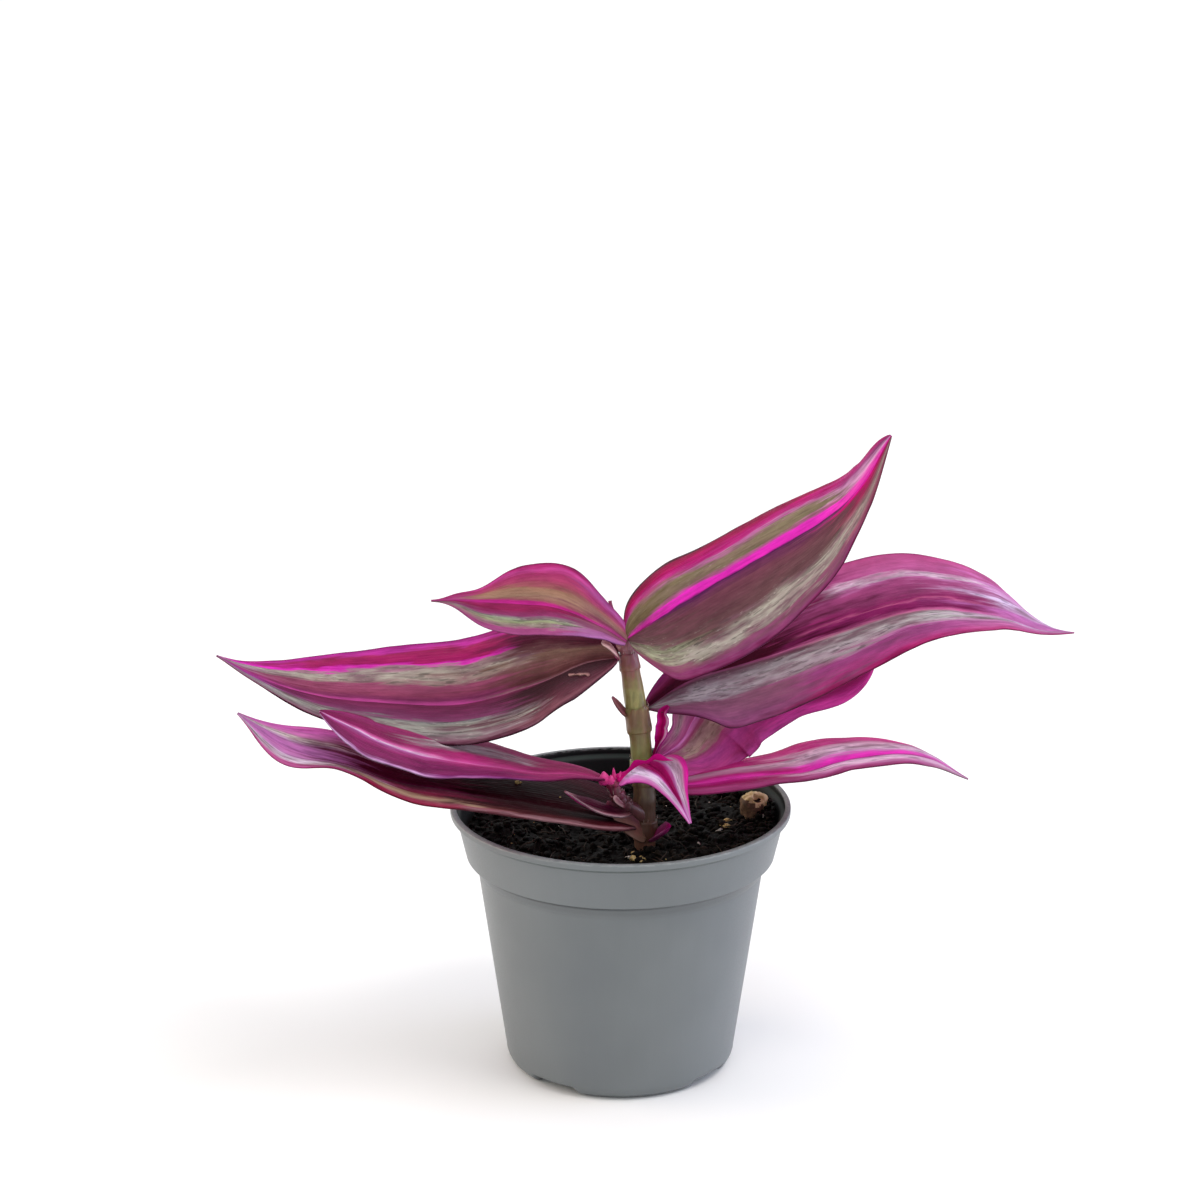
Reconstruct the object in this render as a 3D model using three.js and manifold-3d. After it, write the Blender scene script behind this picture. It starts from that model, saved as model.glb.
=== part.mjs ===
// A small tradescantia in a round nursery pot, standing on its base.
// Millimetres, +Z up, the pot's axis on Z and its underside on z = 0, front towards -Y.
import * as THREE from "three";
import { mergeVertices } from "three/addons/utils/BufferGeometryUtils.js";
import Module from "manifold-3d";

const wasm = await Module();
wasm.setup();

// Pot
const POT_HEIGHT = 48;
const RIM_RADIUS = 30;
const LIP_HEIGHT = 2;
const LIP_OVERHANG = 1.4;
const LIP_ROUNDING = 0.5;
const COLLAR_FOOT_RADIUS = 27.2;
const COLLAR_FOOT_Z = 39;
const BODY_TOP_RADIUS = 25.2;
const BODY_TOP_Z = 36.5;
const BODY_FOOT_RADIUS = 20.4;
const BODY_FOOT_Z = 3;
const FOOT_RADIUS = 17.8;
const FOOT_WIDTH = 2.2;
const FOOT_LIFT = 1.2;
const FOOT_SLOPE = 0.8;
const CENTRE_PAD_RADIUS = 6;
const WALL = 1.1;
const FLOOR_TOP_Z = 2.6;
const INSIDE_CORNER = 2.4;
const POT_SIDES = 48;
const NOTCHES = [53, 143, 233, 323];
const NOTCH_WIDTH = 8;
const NOTCH_HEIGHT = 1.9;
const DRAIN_RADIUS = 2;
const DRAIN_DISTANCE = 11;
const DRAIN_SIDES = 12;

// Soil
const SOIL_TOP_Z = 43.4;
const SOIL_GAP = 0.3;
const SOIL_EDGE_RADIUS = 26.3;
const SOIL_EDGE_DROP = 0.8;
const SOIL_RINGS = [26, 23, 19.5, 16, 12, 8, 4];
const SOIL_SIDES = 36;
const SOIL_HEAP = { x: 20, y: -3, height: 1.4, reach: 11 };
const SOIL_LUMPS = 34;
const SOIL_SEED = 7;

// Cut end of an old stem
const STUB_PLACE = [22.4, 3.2];
const STUB_RADIUS = 2.3;
const STUB_TOP_Z = 46.6;
const STUB_FOOT_Z = 38.8;
const STUB_EDGE = 0.8;
const STUB_PITH_RADIUS = 0.9;
const STUB_PITH_DEPTH = 1.7;
const STUB_SIDES = 12;

// Stem
const STEM_RADIUS = 1.85;
const STEM_TAPER_FROM_Z = 70;
const STEM_TAPER_TO_Z = 82;
const STEM_TOP_RADIUS = 1.2;
const BUD_TIP_Z = 87.5;
const BUD_TIP_RADIUS = 0.3;
const BRANCH_RADIUS = 1.3;
const BRANCH_TOP_RADIUS = 1;
const STEM_STEPS = 24;
const BRANCH_STEPS = 6;
const STEM_SIDES = 10;
const SHEATH_GAP = 0.3;
const SHEATH_WALL = 0.6;
const SHEATH_SIDES = 14;

// Leaf blades
const BLADE_THICKNESS = 0.7;
const MARGIN_WIDTH = 0.35;
const STALK_WIDTH = 1.5;
const SLENDER_HALF = 5;
const STEPS_ALONG = 14;
const STEPS_ACROSS = 4;
const SLENDER_STEPS_ALONG = 7;
const SLENDER_STEPS_ACROSS = 2;

// Flower buds: each one's centre, radius and half height
const BUD_CENTRE = [-2.4, -12.2, 58.8];
const BUDS = [
  { x: 0, y: 0, z: 0, radius: 1.1, tall: 1.5 },
  { x: -1.1, y: -0.5, z: -0.2, radius: 0.8, tall: 1.1 },
  { x: 0.9, y: -0.8, z: 0, radius: 0.8, tall: 1.2 },
];

const COLOURS = {
  pot: 0x7f8687,
  soil: 0x2c211c,
  stem: 0x8c8a5c,
  leaf: 0x9c2f6e,
  youngLeaf: 0xc6438c,
  darkLeaf: 0x5c1f38,
  bud: 0xd8247e,
  stub: 0xb99a63,
};

const at = (x, y, z) => new THREE.Vector3(x, y, z);
const curve = (points) =>
  new THREE.CatmullRomCurve3(points.map((p) => at(...p)), false, "catmullrom", 0.5);

// A value that runs smoothly along a leaf, given at even steps from its base to its tip.
function along(values, share) {
  if (!Array.isArray(values)) return values;
  const path = new THREE.CatmullRomCurve3(values.map((v) => at(v, 0, 0)), false, "catmullrom", 0.5);
  return path.getPoint(share).x;
}

// Joining and cutting

function toSolid(geometry) {
  const plain = geometry.clone();
  plain.deleteAttribute("normal");
  plain.deleteAttribute("uv");
  const merged = mergeVertices(plain, 1e-4);
  const numProp = 3;
  const vertProperties = merged.attributes.position.array;
  const triVerts = new Uint32Array(merged.index.array);
  return new wasm.Manifold(new wasm.Mesh({ numProp, vertProperties, triVerts }));
}

// The largest body of a solid as a geometry: cutting can leave a crumb at a leaf's base.
function toGeometry(solid) {
  const bodies = solid.decompose().sort((a, b) => b.volume() - a.volume());
  const { numProp, vertProperties, triVerts, numVert } = bodies[0].getMesh();
  const positions = new Float32Array(numVert * 3);
  for (let i = 0; i < numVert; i++) {
    positions.set(vertProperties.subarray(i * numProp, i * numProp + 3), i * 3);
  }
  const geometry = new THREE.BufferGeometry();
  geometry.setAttribute("position", new THREE.BufferAttribute(positions, 3));
  geometry.setIndex(new THREE.BufferAttribute(new Uint32Array(triVerts), 1));
  geometry.computeVertexNormals();
  return geometry;
}

function join(...geometries) {
  return geometries.map(toSolid).reduce((a, b) => a.add(b));
}

// Turned and swept shapes

// A profile of [radius, z] points turned round the Z axis.
function turned(profile, sides = POT_SIDES) {
  const points = profile.map(([radius, z]) => new THREE.Vector2(radius, z));
  return new THREE.LatheGeometry(points, sides).rotateX(Math.PI / 2);
}

// A closed round limb along a path, with a radius at each of its even steps.
function limb(path, radii, sides = STEM_SIDES) {
  const spans = radii.length - 1;
  const frames = path.computeFrenetFrames(spans, false);
  const positions = [];
  const faces = [];
  radii.forEach((radius, i) => {
    const centre = path.getPointAt(i / spans);
    for (let k = 0; k < sides; k++) {
      const turn = (2 * Math.PI * k) / sides;
      const out = frames.normals[i].clone().multiplyScalar(Math.cos(turn));
      out.addScaledVector(frames.binormals[i], Math.sin(turn));
      positions.push(...centre.clone().addScaledVector(out, radius).toArray());
    }
  });
  for (let i = 0; i < spans; i++) {
    for (let k = 0; k < sides; k++) {
      const a = i * sides + k;
      const b = i * sides + ((k + 1) % sides);
      faces.push(a, b, b + sides, a, b + sides, a + sides);
    }
  }
  for (let k = 1; k < sides - 1; k++) {
    faces.push(0, k + 1, k);
    faces.push(spans * sides, spans * sides + k, spans * sides + k + 1);
  }
  const geometry = new THREE.BufferGeometry();
  geometry.setAttribute("position", new THREE.Float32BufferAttribute(positions, 3));
  geometry.setIndex(faces);
  return geometry;
}

// Stem

const stemPath = curve([
  [4.4, -9.8, 28],
  [4.3, -9.6, 36],
  [4.2, -9.4, 44],
  [4.2, -9, 50.5],
  [3.8, -8.5, 57.5],
  [3.3, -8, 63.5],
  [2.5, -7, 69],
  [1.6, -6.5, 75],
  [0.6, -6, 80],
  [-0.3, -5, 84],
  [-1, -3.6, 87.5],
]);
const branchPath = curve([
  [4.2, -9.2, 48.5],
  [2.6, -10.6, 50.6],
  [0.6, -11.8, 52.4],
  [-0.8, -12.4, 54.6],
  [-1.6, -12.6, 57],
]);

// The stretch of a path between two heights.
function stretch(path, fromZ, toZ) {
  const shareAt = (z) => {
    let low = 0;
    let high = 1;
    for (let i = 0; i < 30; i++) {
      const middle = (low + high) / 2;
      if (path.getPoint(middle).z < z) low = middle;
      else high = middle;
    }
    return low;
  };
  const a = shareAt(fromZ);
  const b = shareAt(toZ);
  return new THREE.CatmullRomCurve3([0, 1, 2, 3].map((i) => path.getPoint(a + ((b - a) * i) / 3)));
}

// The stem's radius at a height: even up to its upper nodes, then thinner, and pointed at the top bud.
function stemRadius(z) {
  const taper = THREE.MathUtils.smoothstep(z, STEM_TAPER_FROM_Z, STEM_TAPER_TO_Z);
  const point = THREE.MathUtils.smoothstep(z, STEM_TAPER_TO_Z, BUD_TIP_Z);
  const stemPart = THREE.MathUtils.lerp(STEM_RADIUS, STEM_TOP_RADIUS, taper);
  return THREE.MathUtils.lerp(stemPart, BUD_TIP_RADIUS, point);
}

function branchRadius(z) {
  const { z: foot } = branchPath.getPoint(0);
  const { z: top } = branchPath.getPoint(1);
  return THREE.MathUtils.mapLinear(z, foot, top, BRANCH_RADIUS, BRANCH_TOP_RADIUS);
}

const steps = (count) => Array.from({ length: count + 1 }, (unused, i) => i / count);

function stemSolid(extra = 0) {
  const radii = (path, radiusAt, count) =>
    steps(count).map((share) => radiusAt(path.getPointAt(share).z) + extra);
  const main = limb(stemPath, radii(stemPath, stemRadius, STEM_STEPS));
  const side = limb(branchPath, radii(branchPath, branchRadius, BRANCH_STEPS));
  return join(main, side);
}

const stem = stemSolid();
const stemRoom = stemSolid(SHEATH_GAP);

// Leaves
// rib: the midrib's points from base to tip. roll: how far the upper side is turned from straight up
// towards the leaf's right. lift and curl: the angle at which each half leaves the midrib, and how far
// it bends on the way to its margin, in degrees. half: the widest half's width. widest: where that is.
// taper: how drawn out the tip is. sheath: the stretch of stem that the leaf's sheath wraps.

const leaves = [
  {
    name: "leaf_top_right",
    rib: [
      [2.6, -7.4, 79.5],
      [5.5, -8.6, 83.3],
      [13.5, -9, 89.5],
      [23.5, -9, 96.5],
      [34, -9.5, 103.5],
      [40, -10.5, 110],
      [44.5, -12, 117],
    ],
    half: 14.5,
    widest: 0.41,
    taper: 0.95,
    roll: [40, 40, 38, 38, 55],
    left: { lift: [20, 8, 0, 0, 10], curl: -55, scale: [0.5, 1, 1, 1, 1] },
    right: { lift: [25, 10, 5, 12, 5], curl: -28 },
    sheath: { path: stemPath, from: 78.5, to: 80.2 },
  },
  {
    name: "leaf_long_right",
    rib: [
      [4.5, -6.5, 68],
      [12, -1, 71],
      [24.5, 5, 73.5],
      [39, 10, 77],
      [53, 13, 79.5],
      [66, 15, 79.5],
      [75, 16, 76.5],
      [81, 16, 74.5],
    ],
    half: 11.5,
    widest: 0.39,
    taper: 0.82,
    roll: [40, 60, 50, 25, 5],
    left: { lift: [30, 34, 36, 6, -20], curl: -29, scale: [0.6, 0.9, 1, 1, 1] },
    right: { lift: [40, 22, 34, 18, -8], curl: -5 },
    sheath: { path: stemPath, from: 64, to: 68.5 },
  },
  {
    name: "leaf_young_left",
    rib: [
      [-1.4, -6.4, 81.2],
      [-4, -7.2, 83.5],
      [-11, -9, 87],
      [-18.5, -11, 89],
      [-26.5, -13, 89.5],
      [-32, -15, 90],
    ],
    half: 7,
    widest: 0.34,
    taper: 2,
    roll: [-25, -40, -55, -60, -60],
    left: { lift: [20, 28, 25, 10, 5], curl: -25 },
    right: { lift: [12, 16, 20, 15, 10], curl: -15 },
    sheath: { path: stemPath, from: 80.6, to: 82.2 },
    colour: COLOURS.youngLeaf,
  },
  {
    name: "leaf_long_left",
    rib: [
      [-1.2, -7.2, 77],
      [-6.5, -6.6, 76.4],
      [-14.5, -5, 73],
      [-27, -4, 68.5],
      [-41.5, -3.5, 68.5],
      [-53, -4, 69.5],
      [-62.5, -5, 73.5],
      [-69.5, -6.5, 77.5],
    ],
    half: 12,
    widest: 0.4,
    taper: 1.15,
    roll: -35,
    left: { lift: [30, 24, 20, 24, 10], curl: -5 },
    right: { lift: [24, 20, 18, 20, 5], curl: -30, scale: [0.5, 1, 1, 1, 1] },
    sheath: { path: stemPath, from: 75, to: 78.1 },
  },
  {
    name: "leaf_low_left",
    rib: [
      [2, -12, 48],
      [-5, -14.5, 51],
      [-17.5, -18.5, 55],
      [-29, -22.5, 58.5],
      [-37.5, -26, 61.5],
      [-46, -28.5, 65.5],
      [-55.5, -30, 69],
      [-63.5, -31, 75.5],
    ],
    half: 11.5,
    widest: 0.39,
    taper: 1.1,
    roll: [-8, 0, 2, -14, -55],
    left: { lift: [30, 15, 12, 22, 12], curl: -20 },
    right: { lift: [32, 10, 5, 18, 30], curl: -13 },
    sheath: { path: stemPath, from: 44.8, to: 48.6 },
    colour: COLOURS.darkLeaf,
  },
  {
    name: "leaf_mid_left",
    rib: [
      [-2.5, -12.8, 54.5],
      [-8, -13.2, 57.2],
      [-14, -15, 59],
      [-21, -17.5, 61],
      [-28, -20, 63],
      [-34.5, -23, 65.5],
      [-40, -26, 68.5],
      [-45, -28, 72],
      [-50, -30, 75.5],
    ],
    half: 9,
    widest: 0.41,
    taper: 0.9,
    roll: [5, 0, -15, -15, -15],
    left: { lift: [17, 20, 20, 22, 20], curl: -15 },
    right: { lift: [12, 10, -12, -5, 20], curl: -17, scale: [0.6, 1, 0.85, 0.6, 0.5] },
    sheath: { path: branchPath, from: 53.6, to: 54.7 },
  },
  {
    name: "leaf_low_right",
    rib: [
      [5.4, -10.6, 55.4],
      [11.5, -10, 55],
      [22, -6, 55],
      [31.5, -4, 55],
      [39, -2, 56.5],
      [48.5, -1, 57.5],
      [54.5, -1, 56.5],
      [61, -1, 53],
    ],
    half: 10.3,
    widest: 0.4,
    taper: 1.05,
    roll: [-4, -2, 2, 2, 0],
    left: { lift: [9, 14, 25, 14, 2], curl: -39 },
    right: { lift: [13, 18, 26, 16, 5], curl: -19 },
    sheath: { path: stemPath, from: 54.6, to: 56.8 },
  },
  {
    name: "leaf_back_right",
    rib: [
      [5.6, -6.6, 58.2],
      [8.5, -3.5, 58.9],
      [11, 0, 60],
      [14, 4, 63.5],
      [19, 8, 66.5],
      [28, 12, 68],
      [37.5, 15, 68.5],
      [45.5, 17, 70],
    ],
    half: 11,
    widest: 0.48,
    taper: 0.7,
    roll: [50, 45, 40, 35, 25],
    left: { lift: [50, 45, 30, 20, 15], curl: -20, scale: [0.4, 0.4, 0.6, 1, 1] },
    right: { lift: [25, 20, 10, 5, 10], curl: -35, scale: [0.4, 0.5, 0.85, 1, 1] },
    sheath: { path: stemPath, from: 57.2, to: 59.4 },
  },
  {
    name: "leaf_shoot",
    rib: [
      [-0.4, -14.3, 56.6],
      [0.8, -15.4, 59],
      [4, -17.5, 60.5],
      [7.5, -20.5, 60.5],
      [9.5, -23.5, 58.5],
      [11.5, -25.5, 54.5],
    ],
    half: 3.4,
    widest: 0.4,
    taper: 0.9,
    roll: [10, 10, 5, 0, 0],
    left: { lift: [35, 30, 25, 20, 20], curl: -10 },
    right: { lift: [30, 25, 25, 20, 20], curl: -10 },
    sheath: { path: branchPath, from: 55.9, to: 56.8 },
    colour: COLOURS.youngLeaf,
  },
  {
    name: "leaf_dark",
    rib: [
      [1, -13.3, 51.2],
      [-2.5, -16.5, 52.6],
      [-6.5, -19.5, 55.2],
      [-9.5, -22, 58.3],
    ],
    half: 2.4,
    widest: 0.4,
    taper: 1,
    roll: [-10, -20, -20],
    left: { lift: 20, curl: -10 },
    right: { lift: 10, curl: -10 },
    sheath: { path: branchPath, from: 51.9, to: 52.8 },
    colour: COLOURS.darkLeaf,
  },
];

// Small rolled leaves that grow out of another leaf's sheath.
const sprouts = {
  leaf_back_right: {
    rib: [
      [6, -9.2, 58.3],
      [6.8, -9.2, 61],
      [7, -9, 63.5],
      [7.2, -8.6, 65.3],
      [7.8, -8, 66.8],
    ],
    half: 1,
    widest: 0.5,
    taper: 0.8,
    roll: 20,
    left: { lift: 30, curl: -10 },
    right: { lift: 30, curl: -10 },
  },
  leaf_low_left: {
    rib: [
      [6, -11, 45.4],
      [7.5, -13, 47.5],
      [8.5, -14, 49],
    ],
    half: 1.6,
    widest: 0.5,
    taper: 0.8,
    roll: 30,
    left: { lift: 30, curl: -10 },
    right: { lift: 30, curl: -10 },
  },
  leaf_long_right: {
    rib: [
      [1, -8, 67.5],
      [-0.3, -8, 68.5],
      [-1.5, -8, 70.5],
    ],
    half: 1.3,
    widest: 0.4,
    taper: 0.9,
    roll: -30,
    left: { lift: 10, curl: -10 },
    right: { lift: 10, curl: -10 },
  },
};

// The outline of one half: pointed at the tip, widest where the leaf says, with a short stalk.
function halfWidth(leaf, share) {
  const rise = (leaf.taper * leaf.widest) / (1 - leaf.widest);
  const most = leaf.widest ** rise * (1 - leaf.widest) ** leaf.taper;
  const blade = (leaf.half * share ** rise * (1 - share) ** leaf.taper) / most;
  const stalk = Math.min(STALK_WIDTH, leaf.half * 0.3) * (1 - share) ** 3;
  return blade + stalk + MARGIN_WIDTH;
}

// Where the blade's middle surface is, and which way its upper side faces.
// along runs from 0 at the base to 1 at the tip, across from -1 at the left margin to 1 at the right.
function bladePoint(leaf, ribPath, share, across) {
  const centre = ribPath.getPoint(share);
  const forward = ribPath.getTangent(share);
  const up = at(0, 0, 1).addScaledVector(forward, -forward.z).normalize();
  const sideways = forward.clone().cross(up);
  const roll = THREE.MathUtils.degToRad(along(leaf.roll, share));
  const face = up.multiplyScalar(Math.cos(roll)).addScaledVector(sideways, Math.sin(roll));
  const right = forward.clone().cross(face);

  const side = across < 0 ? leaf.left : leaf.right;
  const width = halfWidth(leaf, share) * along(side.scale ?? 1, share);
  const lift = THREE.MathUtils.degToRad(along(side.lift, share));
  const curl = THREE.MathUtils.degToRad(side.curl);
  const turn = lift + curl * Math.abs(across);
  const reach = (width * (Math.sin(turn) - Math.sin(lift))) / curl;
  const rise = (width * (Math.cos(lift) - Math.cos(turn))) / curl;
  const hand = across < 0 ? -1 : 1;
  const point = centre.addScaledVector(right, hand * reach).addScaledVector(face, rise);
  const upper = face.clone().multiplyScalar(Math.cos(turn));
  upper.addScaledVector(right, -hand * Math.sin(turn));
  return { point, upper };
}

// A thin closed blade: a grid of points on its upper side, the same on its lower side, and its edge.
function blade(leaf) {
  const ribPath = curve(leaf.rib);
  const slender = leaf.half < SLENDER_HALF;
  const alongSteps = slender ? SLENDER_STEPS_ALONG : STEPS_ALONG;
  const acrossSteps = slender ? SLENDER_STEPS_ACROSS : STEPS_ACROSS;
  const columns = 2 * acrossSteps + 1;
  const upperSide = [];
  const lowerSide = [];
  for (let i = 0; i <= alongSteps; i++) {
    for (let k = -acrossSteps; k <= acrossSteps; k++) {
      const { point, upper } = bladePoint(leaf, ribPath, i / alongSteps, k / acrossSteps);
      const half = upper.multiplyScalar(BLADE_THICKNESS / 2);
      upperSide.push(...point.clone().add(half).toArray());
      lowerSide.push(...point.clone().sub(half).toArray());
    }
  }
  const below = upperSide.length / 3;
  const faces = [];
  for (let i = 0; i < alongSteps; i++) {
    for (let k = 0; k < columns - 1; k++) {
      const a = i * columns + k;
      const b = a + 1;
      const c = b + columns;
      const d = a + columns;
      faces.push(a, b, c, a, c, d);
      faces.push(below + a, below + c, below + b, below + a, below + d, below + c);
    }
  }
  const edge = [];
  for (let k = 0; k < columns - 1; k++) edge.push(k);
  for (let i = 0; i < alongSteps; i++) edge.push(i * columns + columns - 1);
  for (let k = columns - 1; k > 0; k--) edge.push(alongSteps * columns + k);
  for (let i = alongSteps; i > 0; i--) edge.push(i * columns);
  edge.forEach((a, i) => {
    const b = edge[(i + 1) % edge.length];
    faces.push(a, below + a, below + b, a, below + b, b);
  });
  const geometry = new THREE.BufferGeometry();
  const positions = new THREE.Float32BufferAttribute([...upperSide, ...lowerSide], 3);
  geometry.setAttribute("position", positions);
  geometry.setIndex(faces);
  return geometry;
}

// The sheath wraps the stem below the blade, which grows out of its wall.
function leafSolid(leaf) {
  const { path, from, to } = leaf.sheath;
  const radiusAt = path === stemPath ? stemRadius : branchRadius;
  const cover = SHEATH_GAP + SHEATH_WALL;
  const radii = steps(2).map((share) => radiusAt(from + (to - from) * share) + cover);
  const sheath = limb(stretch(path, from, to), radii, SHEATH_SIDES);
  const pieces = [sheath, blade(leaf)];
  if (sprouts[leaf.name]) pieces.push(blade(sprouts[leaf.name]));
  return join(...pieces).subtract(stemRoom);
}

// Pot

const COLLAR_TOP_RADIUS = RIM_RADIUS - LIP_OVERHANG;
const LIP_FOOT_Z = POT_HEIGHT - LIP_HEIGHT;

// The inner face of the wall, from the floor up to just below the rim.
const potInside = [
  [FOOT_RADIUS - WALL, FLOOR_TOP_Z],
  [FOOT_RADIUS - WALL + INSIDE_CORNER, FLOOR_TOP_Z + INSIDE_CORNER],
  [BODY_TOP_RADIUS - WALL, BODY_TOP_Z],
  [COLLAR_FOOT_RADIUS - WALL, COLLAR_FOOT_Z],
  [COLLAR_TOP_RADIUS - WALL, POT_HEIGHT - LIP_ROUNDING],
];

// The rounded edge between the foot and the body.
const potBevel = steps(3).map((share) => {
  const turn = (share * Math.PI) / 2;
  const radius = THREE.MathUtils.lerp(FOOT_RADIUS, BODY_FOOT_RADIUS, Math.sin(turn));
  return [radius, BODY_FOOT_Z * (1 - Math.cos(turn))];
});

function potSolid() {
  const footInside = FOOT_RADIUS - FOOT_WIDTH;
  const wall = turned([
    [0, 0],
    [CENTRE_PAD_RADIUS, 0],
    [CENTRE_PAD_RADIUS + FOOT_SLOPE, FOOT_LIFT],
    [footInside - FOOT_SLOPE, FOOT_LIFT],
    [footInside, 0],
    ...potBevel,
    [BODY_TOP_RADIUS, BODY_TOP_Z],
    [COLLAR_FOOT_RADIUS, COLLAR_FOOT_Z],
    [COLLAR_TOP_RADIUS, LIP_FOOT_Z - LIP_ROUNDING],
    [RIM_RADIUS - LIP_ROUNDING, LIP_FOOT_Z],
    [RIM_RADIUS, LIP_FOOT_Z + LIP_ROUNDING],
    [RIM_RADIUS, POT_HEIGHT - LIP_ROUNDING],
    [RIM_RADIUS - LIP_ROUNDING, POT_HEIGHT],
    [COLLAR_TOP_RADIUS - WALL + LIP_ROUNDING, POT_HEIGHT],
    ...potInside.slice().reverse(),
    [0, FLOOR_TOP_Z],
  ]);
  // Water runs out through the floor and away under the foot, which is notched beside each hole.
  const notchLength = 2 * (BODY_FOOT_RADIUS - footInside);
  const cuts = NOTCHES.flatMap((degrees) => {
    const notch = new THREE.BoxGeometry(notchLength, NOTCH_WIDTH, 2 * NOTCH_HEIGHT);
    notch.translate(BODY_FOOT_RADIUS, 0, 0);
    const drain = new THREE.CylinderGeometry(DRAIN_RADIUS, DRAIN_RADIUS, 4 * FLOOR_TOP_Z, DRAIN_SIDES);
    drain.rotateX(Math.PI / 2).translate(DRAIN_DISTANCE, 0, 0);
    return [notch, drain].map((cut) => toSolid(cut.rotateZ(THREE.MathUtils.degToRad(degrees))));
  });
  return cuts.reduce((pot, cut) => pot.subtract(cut), toSolid(wall));
}

// Soil

function random(seed) {
  let state = seed;
  return () => {
    state = (state * 16807) % 2147483647;
    return state / 2147483647;
  };
}

const draw = random(SOIL_SEED);
const soilLumps = Array.from({ length: SOIL_LUMPS }, () => {
  const distance = 25 * Math.sqrt(draw());
  const turn = 2 * Math.PI * draw();
  return {
    x: distance * Math.cos(turn),
    y: distance * Math.sin(turn),
    reach: 1.6 + 2.4 * draw(),
    height: -0.4 + 1.9 * draw(),
  };
});

// The soil's top: nearly level, heaped a little at the right, with small lumps and hollows.
function soilHeight(x, y) {
  return [SOIL_HEAP, ...soilLumps].reduce((height, lump) => {
    const distance = Math.hypot(x - lump.x, y - lump.y) / lump.reach;
    return height + lump.height * Math.exp(-(distance ** 2));
  }, SOIL_TOP_Z);
}

function soilSolid() {
  const floor = FLOOR_TOP_Z + SOIL_GAP;
  const profile = [[0, floor]];
  potInside.slice(0, 4).forEach(([radius, z]) => {
    profile.push([radius - SOIL_GAP, Math.max(z, floor)]);
  });
  profile.push([SOIL_EDGE_RADIUS, SOIL_TOP_Z - SOIL_EDGE_DROP]);
  [...SOIL_RINGS, 0].forEach((radius) => profile.push([radius, SOIL_TOP_Z]));
  const soil = turned(profile, SOIL_SIDES);
  const position = soil.getAttribute("position");
  for (let i = 0; i < position.count; i++) {
    if (position.getZ(i) < SOIL_TOP_Z - 0.01) continue;
    position.setZ(i, soilHeight(position.getX(i), position.getY(i)));
  }
  return toSolid(soil).subtract(stemRoom);
}

// The cut end of an old stem, hollow in the middle, that stands beside the rim.
function stubSolid() {
  const profile = [
    [0, STUB_FOOT_Z],
    [STUB_RADIUS - STUB_EDGE, STUB_FOOT_Z],
    [STUB_RADIUS, STUB_FOOT_Z + STUB_EDGE],
    [STUB_RADIUS, STUB_TOP_Z - STUB_EDGE],
    [STUB_RADIUS - STUB_EDGE / 2, STUB_TOP_Z],
    [STUB_PITH_RADIUS, STUB_TOP_Z],
    [STUB_PITH_RADIUS, STUB_TOP_Z - STUB_PITH_DEPTH],
    [0, STUB_TOP_Z - STUB_PITH_DEPTH],
  ];
  return toSolid(turned(profile, STUB_SIDES).translate(...STUB_PLACE, 0));
}

// The hole in the soil that the old stem stands in.
function stubHole() {
  const bottom = STUB_FOOT_Z - SOIL_GAP;
  const radius = STUB_RADIUS + SOIL_GAP;
  const profile = [[0, bottom], [radius, bottom], [radius, POT_HEIGHT], [0, POT_HEIGHT]];
  return toSolid(turned(profile, STUB_SIDES).translate(...STUB_PLACE, 0));
}

// Small closed flower buds, one beside another, at the side shoot's end.
function budSolid() {
  const shapes = BUDS.map(({ x, y, z, radius, tall }) => {
    const bud = new THREE.SphereGeometry(1, 10, 6).rotateX(Math.PI / 2);
    return bud.scale(radius, radius, tall).translate(...BUD_CENTRE).translate(x, y, z);
  });
  return join(...shapes).subtract(stemRoom);
}

// The whole plant

const plant = new THREE.Group();

function place(name, solid, colour, roughness) {
  const material = new THREE.MeshStandardMaterial({ color: colour, roughness, metalness: 0 });
  const mesh = new THREE.Mesh(toGeometry(solid), material);
  mesh.name = name;
  plant.add(mesh);
}

place("pot", potSolid(), COLOURS.pot, 0.5);
place("soil", soilSolid().subtract(stubHole()), COLOURS.soil, 0.95);
place("stem", stem, COLOURS.stem, 0.5);
place("old_stem_stub", stubSolid(), COLOURS.stub, 0.8);
place("flower_buds", budSolid(), COLOURS.bud, 0.5);
leaves.forEach((leaf) => place(leaf.name, leafSolid(leaf), leaf.colour ?? COLOURS.leaf, 0.45));

export default plant;
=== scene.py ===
import functools
import math
import random

import bpy
import numpy as np
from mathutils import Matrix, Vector, noise


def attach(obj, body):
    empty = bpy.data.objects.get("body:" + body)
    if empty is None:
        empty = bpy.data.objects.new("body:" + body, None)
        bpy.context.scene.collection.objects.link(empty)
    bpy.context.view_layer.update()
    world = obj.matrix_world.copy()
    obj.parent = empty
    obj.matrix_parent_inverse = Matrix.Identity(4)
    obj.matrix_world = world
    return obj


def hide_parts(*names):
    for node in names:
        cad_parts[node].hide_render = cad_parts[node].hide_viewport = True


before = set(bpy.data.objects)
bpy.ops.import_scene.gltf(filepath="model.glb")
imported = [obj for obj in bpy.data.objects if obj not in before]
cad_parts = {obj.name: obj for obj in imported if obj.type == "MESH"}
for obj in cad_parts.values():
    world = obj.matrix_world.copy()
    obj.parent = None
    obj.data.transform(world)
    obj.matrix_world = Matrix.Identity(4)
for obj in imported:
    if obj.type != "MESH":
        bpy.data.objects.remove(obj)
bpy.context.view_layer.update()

# A small tradescantia in a round nursery pot. Shapes are worked out in millimetres, +Z up, with the
# pot's axis on Z and its underside on z = 0, and become metres when a mesh is made.
MM = 0.001
BODY = "root"

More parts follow.
